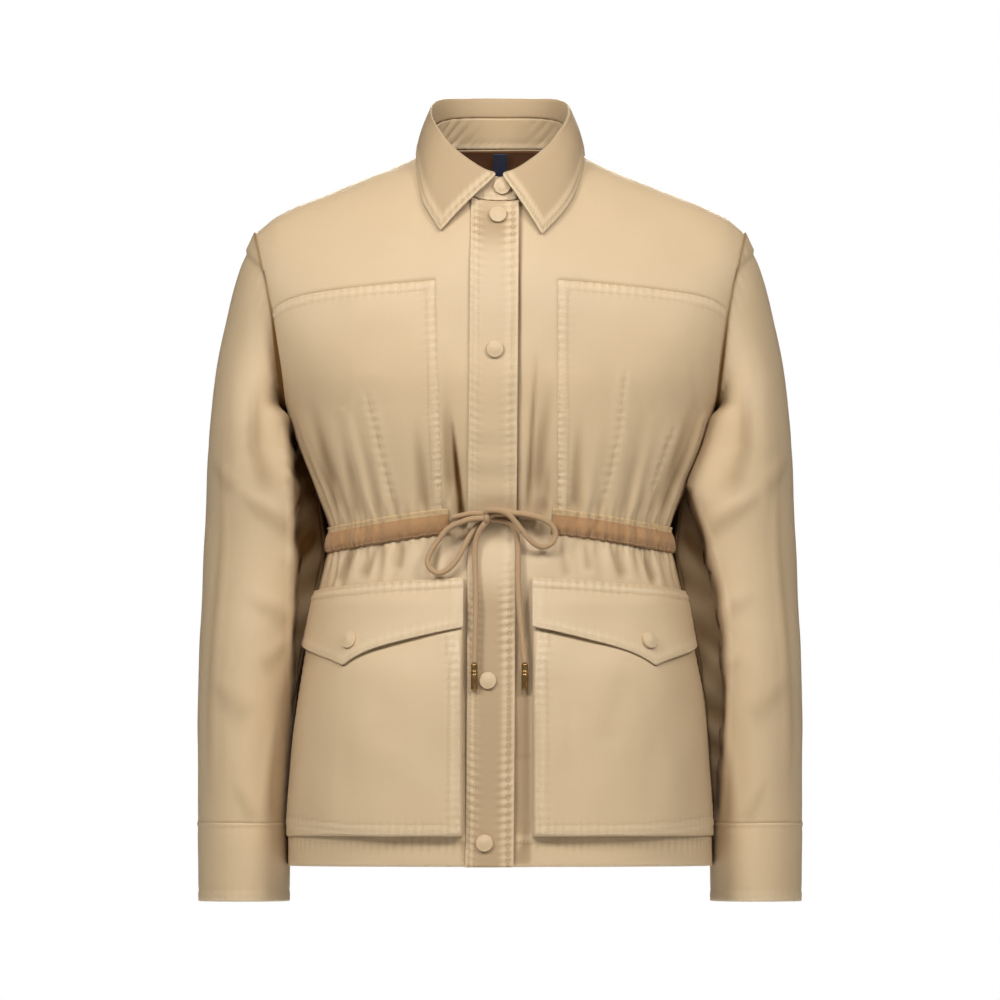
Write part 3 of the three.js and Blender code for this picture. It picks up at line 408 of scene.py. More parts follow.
def surface(name, **settings):
    """A new material, its tree and its shader, whose inputs are set by name: _ stands for a space."""
    made = bpy.data.materials.new(name)
    made.use_nodes = True
    shader = made.node_tree.nodes["Principled BSDF"]
    for label, value in settings.items():
        shader.inputs[label.replace("_", " ")].default_value = value
    return made, made.node_tree, shader


def linear(red, green, blue):
    """A colour given as it looks on screen, 0 to 255, in the linear numbers a shader takes."""
    screen = np.array([red, green, blue]) / 255
    return (*np.where(screen < 0.04045, screen / 12.92, ((screen + 0.055) / 1.055) ** 2.4), 1.0)


def group(name, inputs, outputs):
    """An empty shader group with named sockets: pairs of a name and a socket's kind."""
    tree = bpy.data.node_groups.new(name, "ShaderNodeTree")
    for sockets, way in ((inputs, "INPUT"), (outputs, "OUTPUT")):
        for label, kind in sockets:
            tree.interface.new_socket(label, in_out=way, socket_type=kind)
    return tree, tree.nodes.new("NodeGroupInput"), tree.nodes.new("NodeGroupOutput")


# Gabardine's threads: fine warp ribs crossed by the steep twill line, from the cloth's own UV map
weave, weave_in, weave_out = group(
    "gabardine threads",
    [("Cloth", "NodeSocketVector"), ("Threads", "NodeSocketFloat")],
    [("Height", "NodeSocketFloat"), ("Tone", "NodeSocketFloat")],
)
weave_place = node(weave, "ShaderNodeVectorMath", {0: weave_in.outputs["Cloth"]}, operation="SCALE")
weave.links.new(weave_in.outputs["Threads"], weave_place.inputs["Scale"])
twill = stripes(weave, weave_place.outputs[0], "DIAGONAL", 0.31, 0.6, 3.0)
warp = stripes(weave, weave_place.outputs[0], "X", 0.62, 0.4, 2.0)
slub = noise(weave, weave_place.outputs[0], 0.9, 2.0)
weave_sum = reckon(weave, "ADD", reckon(weave, "ADD", twill, warp), slub)
weave.links.new(weave_sum, weave_out.inputs["Height"])
weave.links.new(spread(weave, weave_sum, 0.4, 2.4, 0.93, 1.05), weave_out.inputs["Tone"])

# Wear of made-up cotton and painted shade: slow mottling of the dye, soft crumples and the pale bloom
# along edges where the mask is above 0; painted shade in folds, seams and recesses where it is below 0
wear, wear_in, wear_out = group(
    "washed cotton",
    [("Wear_and_shade", "NodeSocketFloat")],
    [(label, "NodeSocketFloat") for label in ("Tone", "Crumple", "Edge", "Painted_shade")],
)
wear_place = node(wear, "ShaderNodeTexCoord", {}).outputs["Object"]
mottle = noise(wear, wear_place, 7.0, 5.0)
rubbed = noise(wear, wear_place, 300.0, 2.0)
ridges = reckon(wear, "MAXIMUM", wear_in.outputs["Wear_and_shade"], 0.0)
for label, value in {
    "Tone": spread(wear, mottle, 0.3, 0.7, 0.955, 1.03),
    "Crumple": noise(wear, wear_place, 34.0, 3.0, Roughness=0.45, Distortion=0.6),
    "Edge": reckon(wear, "MULTIPLY", rubbed, ridges),
    "Painted_shade": spread(wear, wear_in.outputs["Wear_and_shade"], -1.0, 0.0, 1.0, 0.0),
}.items():
    wear.links.new(value, wear_out.inputs[label])


def cotton(name, colour, pale, deep, threads=2200.0, roughness=0.78, sheen=0.25):
    """Cotton of one colour: tone from the weave and the mottling, paler along edges that have seen wear,
    and blended towards the deep colour, with less shine, where shade is painted in; the threads and the
    crumples make two bumps."""
    made, tree, shader = surface(name, Roughness=roughness, Sheen_Weight=sheen, Sheen_Roughness=0.45)
    place = node(tree, "ShaderNodeUVMap", {}, uv_map="cloth").outputs["UV"]
    wear_and_shade = node(tree, "ShaderNodeAttribute", {}, attribute_name="wear_and_shade").outputs["Fac"]
    inputs = {"Cloth": place, "Threads": threads}
    threads_made = node(tree, "ShaderNodeGroup", inputs, node_tree=weave).outputs
    wear_made = node(tree, "ShaderNodeGroup", {"Wear_and_shade": wear_and_shade}, node_tree=wear).outputs
    # Less shine where shade is painted in, so the painted shade stays dark.
    gloss = spread(tree, wear_made["Painted_shade"], 0.0, 0.6, 0.55, 0.0)
    tree.links.new(gloss, shader.inputs["Specular IOR Level"])
    tone = reckon(tree, "MULTIPLY", threads_made["Tone"], wear_made["Tone"])
    # Painted shade: the base colour blended towards the deep colour where the mask lies below 0.
    base_with_painted_shade = blend(tree, wear_made["Painted_shade"], linear(*colour), linear(*deep))
    shade = node(tree, "ShaderNodeVectorMath", {0: base_with_painted_shade}, operation="SCALE")
    tree.links.new(tone, shade.inputs["Scale"])
    bloom = blend(tree, wear_made["Edge"], shade.outputs[0], linear(*pale))
    tree.links.new(bloom, shader.inputs["Base Color"])
    relief = {"Strength": 0.35, "Distance": 0.0016, "Height": wear_made["Crumple"]}
    crumpled = node(tree, "ShaderNodeBump", relief).outputs["Normal"]
    relief = {"Strength": 0.35, "Distance": 0.00012, "Height": threads_made["Height"]}
    woven = node(tree, "ShaderNodeBump", {**relief, "Normal": crumpled})
    tree.links.new(woven.outputs["Normal"], shader.inputs["Normal"])
    return made


# Its third colour is the deep brown of the painted shade.
tan_cotton = cotton(
    "tan cotton", (199, 173, 136), (226, 206, 174), (100, 68, 34), roughness=0.5, sheen=0.05
)

# The fronts: on each side an L of yoke and centre strip in one piece, with a chest panel sewn into its
# corner by two rows of stitches, and a skirt front below the waist. The right front ends under the
# placket; the left front runs on across the middle.
SIDES = ((-1, "right", 0.5), (1, "left", -0.45))
# The placket's free edge at the top, and how far it drifts towards the wearer's right by the hem
PLACKET_FREE = 16.8
PLACKET_DRIFT = 5.3
# Rows of stitches: how far they lie from the edge that they follow, and beside a dart. The hem's upper
# row is only a faint pressed line.
CHEST_ROWS = (1.3, 8.3)
HEM_ROWS = (22, 99)
DART_ROW = 1.7
# A distance that counts as far from every seam
FAR = 99
# How much painted shade a fold and the dip between two gathers get with each millimetre of their depth
FOLD_SHADE = 0.2
GATHER_SHADE = 0.09


def neck_turn(gathers):
    """Angle round the neck of a place on its seam, in radians."""
    return gathers * np.pi / 2 / NECK


def edge_x(gathers):
    """How far from the middle the neck and shoulder edge lies."""
    shoulder_x = mix(NECK_HALF, SHOULDER_TIP, (np.abs(gathers) - NECK) / (SIDE - NECK))
    return np.where(np.abs(gathers) < NECK, NECK_HALF * np.sin(neck_turn(gathers)), shoulder_x)


def edge_z(gathers, back):
    """Height of the neck seam, front or back, and of the shoulder seam beyond it."""
    turn = np.degrees(np.abs(neck_turn(np.clip(gathers, -NECK, NECK))))
    neck_z = along(COLLAR, "seam", 180 - turn if back else turn)
    return np.where(np.abs(gathers) > NECK, along(SHOULDER, "z", edge_x(gathers)), neck_z)


def yoke_seam_z(gathers):
    """The yoke seam is level at the strip and falls faster towards the armhole."""
    share = np.clip((gathers - STRIP) / (SIDE - STRIP), 0, None)
    return YOKE_SEAM - 18 * share - 10 * share**6


def seam_x(gathers, z, widening=0):
    """Half width of a seam that meets the waist at so many gathers, wider by some at the yoke."""
    waist = waist_height(np.asarray(gathers) / SIDE)
    x = np.abs(body_point(1, gathers / SIDE, waist)[..., 0])
    return x + widening * smooth(waist, YOKE_SEAM, z)


def front_round(edge, gathers, z, z_at_armhole):
    """How far round the body a column of the upper front lies at some height."""
    strip = round_at(seam_x(STRIP, z, STRIP_WIDENS if edge > 0 else 0), z)
    start = np.sign(edge) * round_at(seam_x(edge, z), z)
    armhole_round = round_at(along(ARMHOLE, "x", z_at_armhole), z_at_armhole)
    outer = np.where(z_at_armhole > ARMPIT, armhole_round, 1.0)
    inside = mix(start, strip, (gathers - edge) / (STRIP - edge))
    return np.where(gathers <= STRIP, inside, mix(strip, outer, (gathers - STRIP) / (SIDE - STRIP)))


def upper_front(side, edge, gathers, row):
    """The front above the waist: row 0 the neck and shoulder, 1 the yoke seam, 2 the armpit, 3 the
    waist. gathers count the columns from the centre front, 10 to the side seam."""
    gathers, row = np.broadcast_arrays(gathers, row)
    line = yoke_seam_z(gathers)
    share = np.clip(row, 0, 1) ** 2
    high_z = mix(edge_z(gathers, False), line, share)
    line_round = front_round(edge, gathers, line, yoke_seam_z(np.full(gathers.shape, float(SIDE))))
    high_x = mix(edge_x(gathers), body_point(1, line_round, line)[..., 0], share)

    def row_z(waist, start):
        return np.where(row < 2, mix(start, ARMPIT, row - 1), mix(ARMPIT, waist, row - 2))

    low_z = row_z(waist_height(gathers / SIDE), line)
    low_round = front_round(edge, gathers, low_z, row_z(waist_height(1.0), yoke_seam_z(float(SIDE))))
    z = np.where(row < 1, high_z, low_z)
    around = np.where(row < 1, round_at(high_x, z), low_round)
    return body_point(side, around, z, gather_lift(side, gathers, around, z))


def skirt_front(side, gathers, row):
    """The front below the waist: row 3 the waist, 4 the hem."""
    around = gathers / SIDE
    z = mix(waist_height(around), HEM, row - 3)
    return body_point(side, around, z, gather_lift(side, gathers, around, z))


def raised(points, height, facing=1, closed=False):
    """A grid of points moved out along its own normals."""
    return points + normals(points, facing, closed) * np.asarray(height)[..., None]


def steps(*stops):
    """Values that run through the stops: a stop, a count of steps, the next stop, and so on."""
    legs = zip(stops[:-2:2], stops[2::2], stops[1::2])
    runs = [np.linspace(start, end, count, endpoint=False) for start, end, count in legs]
    return np.concatenate([*runs, [stops[-1]]])


def way(line):
    """How far along a line of points each of them lies."""
    return np.concatenate([[0], np.cumsum(np.linalg.norm(np.diff(line, axis=0), axis=-1))])


def read_along(at, length, line):
    """Places of a line, or of vectors given along it, at other distances along it."""
    return np.stack([np.interp(at, length, line[:, k]) for k in range(3)], -1)


def border_line(points, facing, border, distance, skip=(0, 0)):
    """The line at a distance inside one border of a grid, with its normals, leaving out a stretch at
    its two ends: each row or column is read where its own distance reaches the wanted one."""
    normal = normals(points, facing)
    measured = arcs(points)[border]
    if border in ("top", "bottom"):
        points, normal, measured = points.swapaxes(0, 1), normal.swapaxes(0, 1), measured.T
    if border in ("right", "bottom"):
        points, normal, measured = points[:, ::-1], normal[:, ::-1], measured[:, ::-1]
    place = np.clip((measured < distance).sum(1) - 1, 0, points.shape[1] - 2)
    line = np.arange(len(points))
    low, high = measured[line, place], measured[line, place + 1]
    share = ((distance - low) / (high - low))[:, None]
    found = mix(points[line, place], points[line, place + 1], share)
    length = way(found)
    kept = (length >= skip[0]) & (length <= length[-1] - skip[1])
    return found[kept], normal[line, place][kept]


def sew(name, lines, material, pitch=3.4, stitch=2.6, thick=0.27):
    """Rows of stitches as one mesh: along each line, every pitch, a short thread with six corners
    round its belly and a point at each end, lying half sunk in the cloth."""
    vertices, faces = [], []
    for points, normal in lines:
        length = way(points)
        start = np.arange(pitch / 2, length[-1] - stitch, pitch)
        at = start[:, None] + np.array([0, 0.25, 0.75, 1]) * stitch
        place = read_along(at, length, points)
        up = unit(read_along(at, length, normal))
        aside = unit(np.cross(place[:, 3:] - place[:, :1], up))
        turn = np.arange(6) * np.pi / 3
        belly = np.cos(turn)[:, None] * aside[:, 1:3, None] * 0.8 + np.sin(turn)[:, None] * up[:, 1:3, None]
        rings = place[:, 1:3, None] + thick * belly + 0.08 * up[:, 1:3, None]
        tips = place[:, [0, 3]] - 0.1 * up[:, [0, 3]]
        each = np.concatenate([rings.reshape(len(start), 12, 3), tips], 1)
        around = np.arange(6)
        beyond = (around + 1) % 6
        sides = np.stack([around, beyond, beyond + 6, around + 6], -1)
        head = np.stack([np.full(6, 12), beyond, around, around], -1)
        tail = np.stack([np.full(6, 13), around + 6, beyond + 6, beyond + 6], -1)
        pattern = np.concatenate([sides, head, tail])
        offset = sum(len(part) for part in vertices) + 14 * np.arange(len(start))
        faces.append((pattern[None] + offset[:, None, None]).reshape(-1, 4))
        vertices.append(each.reshape(-1, 3))
    points, faces = np.concatenate(vertices) / 1000, np.concatenate(faces)
    mesh = bpy.data.meshes.new(name)
    mesh.from_pydata(points, [], [face[:3] if face[2] == face[3] else face for face in faces.tolist()])
    return placed(name, mesh, material)


thread = cotton("tan thread", (216, 192, 154), (226, 206, 172), (150, 116, 76), 5000.0, roughness=0.6)

# Pressed folds and darts that the drawn waist leaves in each front: two ends, a width and a depth
FRONT_CREASES = {
    "right": [
        (-140, -262, -128, -325, 6, 1.6),
        (-44, -236, -34, -332, 3.6, 4.4),
        (-50, -215, -44, -300, 9, 1.6),
        (-76, -240, -68, -322, 7, 1.5),
        (-57, -280, -52, -324, 5, 1.3),
        (-168, -238, -146, -320, 7, 1.6),
        (-172, -215, -150, -300, 9, 1.2),
        (-128, -348, -146, -384, 6, 1.8),
        (-104, -342, -124, -380, 6, 1.7),
        (-84, -342, -92, -372, 5, 1.3),
        (-56, -340, -62, -378, 6, 1.5),
    ],
    "left": [
        (33, -175, 25, -322, 3.6, 2.8),
        (46, -200, 33, -300, 9, 1.5),
        (72, -235, 66, -322, 7, 1.6),
        (44, -275, 41, -322, 5, 1.3),
        (170, -230, 146, -318, 7, 1.6),
        (178, -210, 158, -298, 9, 1.2),
        (124, -348, 140, -384, 6, 1.8),
        (96, -342, 112, -380, 6, 1.6),
        (74, -341, 80, -374, 5, 1.4),
        (52, -344, 60, -380, 6, 1.2),
    ],
}
# Stitched darts of the chest panels: how far from the middle and how high the points along each lie
DARTS = {
    "right": [[(-119.7, -213), (-107.1, -265.5), (-96, -312)]],
    "left": [[(112.5, -196), (106, -253), (93, -310)], [(155.7, -244.8), (145.8, -273.6), (136, -303)]],
}


def dart_relief(darts, x, z):
    """A groove along each dart with puckers on both sides of it."""
    lift = 0.0
    for dart in darts:
        line_x, line_z = np.array(dart).T
        aside = x - np.interp(-z, -line_z, line_x)
        fade = smooth(line_z[0] + 4, line_z[0] - 8, z) * smooth(line_z[-1] - 4, line_z[-1] + 8, z)
        groove = -0.6 * bell(aside, 1.3) + 0.5 * bell(np.abs(aside) - 5, 3.5)
        puckers = 0.35 * np.sin(2 * np.pi * z / 7.7 + 1.2 * np.sin(z / 17)) * bell(aside, 6)
        lift = lift + fade * (groove + puckers)
    return lift


def fold_shade(folds, points, around, side):
    """How deep in a fold or between two gathers the cloth lies, below 0, for painted shade there."""
    x, _, z = np.moveaxis(points, -1, 0)
    gathered = gather_lift(side, SIDE * np.abs(around), around, z)
    folded = np.clip(creases(folds, x, z), None, 0)
    return FOLD_SHADE * folded + GATHER_SHADE * np.clip(gathered, None, 0)


def dart_line(points, normal, dart, aside):
    """The line along a dart, so far beside it, read from the nearest places of a panel's grid."""
    line_x, line_z = np.array(dart).T
    z = np.arange(line_z[0], line_z[-1], -1.0)
    x = np.interp(-z, -line_z, line_x) + aside
    grid_x, grid_y, grid_z = points.reshape(-1, 3).T
    near = ((grid_x - x[:, None]) ** 2 + (grid_z - z[:, None]) ** 2).argmin(1)
    found = np.stack([x, grid_y[near], z], -1)
    return found, normal.reshape(-1, 3)[near]


for side, hand, edge in SIDES:
    folds = FRONT_CREASES[hand]

    def worn_front(points, extra=0.0):
        """The fronts' relief: long creases and slack over the whole cloth, and a seam's own relief."""
        x, y, z = np.moveaxis(points, -1, 0)
        return raised(points, creases(folds, x, z) + slack(x, y, z, 0.28) + recess(x, z) + extra, -side)

    # The L is one grid whose faces beyond the strip stop at the yoke seam.
    across = steps(edge, 26, STRIP, 84, SIDE)
    down = steps(0.0, 56, 1.0, 100, 3.0)
    plain = upper_front(side, edge, across[None], down[:, None])
    measured = arcs(plain)
    seam_row = measured["top"][down == 1.0]
    to_seam = np.where(across[None] > STRIP, np.abs(measured["top"] - seam_row), FAR)
    strip_edge = measured["left"][:, across == STRIP]
    to_strip = np.where(down[:, None] >= 1, np.abs(measured["left"] - strip_edge), FAR)
    relief = seam(to_seam) + seam(to_strip) + seam(measured["top"])
    keep = (down[:-1, None] < 1) | (across[None, :-1] < STRIP)
    yoke = worn_front(plain, relief)
    # Painted shade in the folds and between the gathers, a painted shade line along the armhole edge, and
    # painted shade in the recess between the pockets.
    wear_and_shade = fold_shade(folds, plain, across / SIDE, side) - 0.7 * fading(measured["right"], 1.2)
    wear_and_shade = wear_and_shade + 0.1 * recess(plain[..., 0], plain[..., 2])
    # On the left front, a painted shadow under the placket's free edge.
    if hand == "left":
        from_edge = plain[..., 0] + PLACKET_DRIFT * plain[..., 2] / HEM - PLACKET_FREE
        wear_and_shade = wear_and_shade - 0.95 * bell(from_edge - 1, 1.8)
    made = cloth_piece(f"yoke_{hand}", yoke, CLOTH, tan_cotton, -side, keep=keep, wear_and_shade=wear_and_shade)
    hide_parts(f"front_yoke_{hand}")

    across, down = steps(STRIP, 84, SIDE), steps(1.0, 46, 2.0, 54, 3.0)
    plain = upper_front(side, edge, across[None], down[:, None])
    measured = arcs(plain)
    from_top, from_left = measured["top"], measured["left"]
    sewn = stitched(from_top, from_left, CHEST_ROWS) + stitched(from_left, from_top, CHEST_ROWS)
    low_puckers = np.sin(2 * np.pi * from_top / 6.1 + np.sin(from_top / 13))
    sewn = sewn + 0.6 * low_puckers * bell(from_left, 6) * smooth(-185, -225, plain[..., 2])
    dart = dart_relief(DARTS[hand], plain[..., 0], plain[..., 2])
    relief = sewn + dart + seam(from_top) + seam(from_left) + seam(measured["bottom"])
    wear_and_shade = np.maximum(sewn + 0.3 * dart, -0.12) + 0.7 * fading(np.minimum(from_top, from_left), 1.5)
    # Painted shade in the folds and between the gathers, and a painted shade line along the armhole and the
    # side seam.
    wear_and_shade = wear_and_shade + fold_shade(folds, plain, across / SIDE, side) - 0.8 * fading(measured["right"], 1.4)
    chest = worn_front(plain, relief)
    made = cloth_piece(f"chest_{hand}", chest, CLOTH, tan_cotton, -side, wear_and_shade=wear_and_shade)
    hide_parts(f"front_chest_{hand}")

    across, down = steps(edge, 92, SIDE), steps(3.0, 32, 3.2, 82, 4.0)
    plain = skirt_front(side, across[None], down[:, None])
    measured = arcs(plain)
    sewn = stitched(measured["bottom"], measured["left"], HEM_ROWS)
    skirt = worn_front(plain, seam(measured["top"]) + sewn)
    wear_and_shade = np.maximum(sewn, -0.12) + 0.7 * fading(measured["bottom"], 1.5)
    # Painted shade in the folds, between the gathers and in the recess between the pockets.
    wear_and_shade = wear_and_shade + fold_shade(folds, plain, across / SIDE, side) + 0.12 * recess(plain[..., 0], plain[..., 2])
    made = cloth_piece(f"skirt_{hand}", skirt, CLOTH, tan_cotton, -side, wear_and_shade=wear_and_shade)
    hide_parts(f"front_skirt_{hand}")

    lines = [
        border_line(chest, -side, border, distance, (2, 2))
        for border in ("top", "left")
        for distance in CHEST_ROWS
    ]
    lines.append(border_line(skirt, -side, "bottom", HEM_ROWS[0], (24, 1)))
    lines += [dart_line(chest, normals(chest, -side), dart, DART_ROW) for dart in DARTS[hand]]
    sew(f"stitches_front_{hand}", lines, thread)

# The back is one piece from the neck to the hem, gathered by the same cord at the waist.
BACK_CREASES = [
    (-150, -240, -120, -320, 9, 1.3),
    (150, -240, 118, -320, 9, 1.3),
    (-60, -250, -48, -325, 8, 1.1),
    (64, -245, 50, -325, 8, 1.1),
    (-100, -360, -112, -440, 11, 1.1),
    (96, -360, 110, -435, 11, 1.1),
    (8, -262, 2, -322, 8, 0.9),
    (-190, -120, -150, -215, 12, 1.0),
    (190, -120, 150, -215, 12, 1.0),
]


def back_surface(across, row):
    """The back: across counts gathers from its middle, 10 to a side seam; row 0 is the neck and
    shoulder, 2 the armpit, 3 the waist, 4 the hem."""
    across, row = np.broadcast_arrays(across, row)
    side, gathers = np.where(across < 0, -1, 1), np.abs(across)
    from_front = CENTRE_BACK - gathers
    waist = waist_height(from_front / SIDE)
    share = (np.clip(row, 0, 2) / 2) ** 2
    high_z = mix(edge_z(gathers, True), ARMPIT, share)
    arm_z = mix(SHOULDER["z"][-1], ARMPIT, share)
    low_share = np.sin(gathers / SIDE * np.pi / 2) ** (2 / ROUND)
    high_x = along(ARMHOLE, "x", arm_z) * mix(edge_x(gathers) / SHOULDER_TIP, low_share, share)
    low_z = np.where(row < 3, mix(ARMPIT, waist, row - 2), mix(waist, HEM, row - 3))
    z = np.where(row < 2, high_z, low_z)
    around = np.where(row < 2, 2 - round_at(high_x, z), from_front / SIDE)
    return body_point(side, around, z, gather_lift(side, from_front, around, z))


across, down = steps(-10.0, 164, 10.0), steps(0.0, 56, 2.0, 44, 3.0, 70, 4.0)
plain = back_surface(across[None], down[:, None])
measured = arcs(plain)
x, y, z = np.moveaxis(plain, -1, 0)
relief = creases(BACK_CREASES, x, z) + slack(x, y, z, 0.32) + seam(measured["top"]) * (np.abs(x) < 215)
relief = relief + seam(measured["left"]) + seam(measured["right"])
relief = relief + stitched(measured["bottom"], measured["left"], HEM_ROWS, 0.25)
back = raised(plain, relief)
side = np.where(across < 0, -1, 1)[None]
# Painted shade in the back's folds and between its gathers.
wear_and_shade = fold_shade(BACK_CREASES, plain, (CENTRE_BACK - np.abs(across[None])) / SIDE, side)
made = cloth_piece("back_panel", back, CLOTH, tan_cotton, wear_and_shade=wear_and_shade)
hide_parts("back")
sew("stitches_back", [border_line(back, 1, "bottom", HEM_ROWS[0], (1, 1))], thread)

# Sleeves, each one tube of cloth set into the armhole and closed by a cuff of two layers. They hang
# filled, with the inner quarter behind the side seam drawn in behind the body.
SEAM_GAP = 0.3
CUFF_TOP = -601
CUFF_END = -671
TUCK_FROM = 0.47
TUCK_TO = 0.85
# Where the head's curve meets the sleeve's first oval, and the columns round a sleeve
SLEEVE_TOP = -262
SLEEVE_COLUMNS = 112
# How far it is round the sleeve and the cuff, and where the cuff's two pleats lie
SLEEVE_GIRTH = 330
CUFF_GIRTH = 290
CUFF_PLEATS = 262
CUFF_PLEAT = 14
# Stitches of the cuff, from its seam and from its edge
CUFF_TOP_ROW = 1.5
CUFF_END_ROW = 6
# A point of the pleat, as half width and height, and the pleat's slant in radians
PLEAT_LINE = (212, -104, 0.8)
# How wide and how dark the painted shade on the sleeve is along the armhole seam in front, low down
SEAM_SHADE = {"right": (13, 0.85), "left": (4, 0.6)}
SLEEVE = table(
    "z outer inner front back tuck",
    [
        (SLEEVE_TOP, 260.5, 190, -52, 78, 20),
        (-303, 263, 172, -52, 80, 26),
        (-347, 265, 161, -50, 78, 30),
        (-390, 267, 167, -50, 74, 27),
        (-436, 269, 177.5, -52, 70, 25),
        (-490, 271, 186, -50, 68, 22),
        (-545, 271, 190.5, -46, 66, 17),
        (-601, 270, 193.5, -40, 62, 12),
    ],
)
# Sleeve folds: how far round the sleeve and how high each end lies, then a width and a depth
SLEEVE_CREASES = [
    (60, -300, 110, -340, 12, 1.6),
    (150, -330, 105, -372, 12, 1.8),
    (70, -395, 118, -420, 13, 1.3),
    (20, -270, 60, -300, 12, 1.2),
    (128, -430, 96, -462, 13, 1.2),
    (40, -470, 86, -505, 14, 1.0),
    (70, -560, 96, -598, 10, 1.0),
    (230, -320, 270, -350, 14, 1.5),
    (265, -380, 228, -410, 14, 1.3),
    (236, -500, 262, -540, 14, 1.0),
    (44, -235, 40, -560, 8, 1.3),
    (84, -200, 92, -300, 12, 2.0),
    (118, -500, 112, -596, 9, 1.4),
]
# Where the front of each sleeve folds back to its underside: half width, and how dark the painted shade on
# the underside is there
UNDERSIDE = {
    "right": table(
        "z x dark",
        [
            (-230, 196, 1.0),
            (-299, 188, 1.0),
            (-347, 188, 0.8),
            (-400, 189, 0.6),
            (-490, 190, 0.7),
            (CUFF_TOP, 192, 0.9),
        ],
    ),
    "left": table(
        "z x dark",
        [
            (-290, 166, 0.9),
            (-305, 174, 0.8),
            (-364, 193, 0.5),
            (-414, 204, 0.5),
            (-490, 206, 0.45),
            (CUFF_TOP, 200, 0.7),
        ],
    ),
}


def sleeve_point(side, share, z, inset=0.0):
    """A point of the sleeve below its head: an oval through its four edges, less the tuck."""
    turn = share * 2 * np.pi
    outer, inner = along(SLEEVE, "outer", z) - inset, along(SLEEVE, "inner", z) + inset
    front, behind = along(SLEEVE, "front", z) + inset, along(SLEEVE, "back", z) - inset
    tucked = np.clip((share - TUCK_FROM) / (TUCK_TO - TUCK_FROM), 0, 1)
    tuck = along(SLEEVE, "tuck", z) * np.sin(np.pi * tucked) ** 2
    x = (outer + inner) / 2 + (outer - inner) / 2 * np.cos(turn) - tuck
    y = (front + behind) / 2 - (behind - front) / 2 * np.sin(turn)
    return np.stack([side * x, y, z + 0 * x], -1)


def armhole_loop(side, edge, count):
    """Points round the armhole from the shoulder by the front to the armpit and back up behind, at
    even steps of each half, with the direction that leads off the cloth there."""
    halves = []
    for half in (0, 1):
        row = np.linspace(0.0, 2.0, 260)
        if half == 0:
            line, inside = (upper_front(side, edge, np.array(at), row) for at in (SIDE, SIDE - 0.08))
        else:
            line, inside = (back_surface(np.array(side * at), row)[::-1] for at in (SIDE, SIDE - 0.08))
        length = way(line)
        at = np.linspace(0, length[-1], count // 2, endpoint=False)
        halves.append([read_along(at, length, part) for part in (line, line - inside)])
    points, off = (np.concatenate(parts) for parts in zip(*halves))
    run = unit(np.roll(points, -2, 0) - np.roll(points, 2, 0))
    off -= run * (off * run).sum(-1, keepdims=True)
    for _ in range(3):
        off = (np.roll(off, 1, 0) + 2 * off + np.roll(off, -1, 0)) / 4
    return points, unit(off)


def sleeve_head(side, edge, share, t):
    """The head: a Hermite curve from the armhole, leaving the cloth's edge outwards and down, to the
    first oval of the sleeve, arriving straight down; t is 0 at the armhole and 1 at the oval. Its
    first row is the seam allowance, turned in under the body's edge."""
    start, off = armhole_loop(side, edge, len(share))
    low = ((1 - np.cos(share * 2 * np.pi)) / 2)[:, None]
    up = np.array([0, 0, 1])
    leave = off * mix(45, 22, low) + mix(20, 26, low) * np.array([side, 0, 0]) + mix(-70, -4, low) * up
    arrive = mix(-190, -40, low) * up
    end = sleeve_point(side, share, np.full(len(share), float(SLEEVE_TOP)))
    t = t[:, None, None]
    head = (
        (start + off * SEAM_GAP) * (2 * t**3 - 3 * t**2 + 1)
        + leave * (t**3 - 2 * t**2 + t)
        + end * (3 * t**2 - 2 * t**3)
        + arrive * (t**3 - t**2)
    )
    inwards = np.cross(np.roll(start, -2, 0) - np.roll(start, 2, 0), off)
    inwards = -np.sign((inwards[:, :2] * start[:, :2]).sum(-1))[:, None] * unit(inwards)
    return np.concatenate([(start - off * 3 + inwards * 1.7)[None], head])


def beside_body(points, share):
    """Below the armpit the inner side of the sleeve is drawn in until it lies two millimetres off the
    body's own section."""
    x, y, z = np.abs(points[..., 0]), points[..., 1], points[..., 2]
    depth = np.where(y < 0, along(BODY, "front", z), along(BODY, "back", z))
    body_x = along(BODY, "half", z) * np.clip(1 - (np.abs(y) / depth) ** ROUND, 0, 1) ** (1 / ROUND)
    inner = smooth(0.28, 0.42, share) * smooth(0.8, 0.66, share)
    inner = inner * smooth(-222, -238, z) * smooth(-335, -295, z)
    drawn = np.clip(x - body_x - 2, 0, None) * inner
    return points - np.sign(points[..., :1]) * np.stack([drawn, 0 * drawn, 0 * drawn], -1)


def shoulder_pleat(points):
    """A pleat across the front of the head: the cloth steps out below a slanting line."""
    x, y, z = np.abs(points[..., 0]), points[..., 1], points[..., 2]
    below = (PLEAT_LINE[1] - z) * np.cos(PLEAT_LINE[2]) + (x - PLEAT_LINE[0]) * np.sin(PLEAT_LINE[2])
    step = smooth(-0.5, 0.8, below) * fading(np.clip(below, 0, None), 14)
    return 2.4 * step * smooth(16, 4, y)


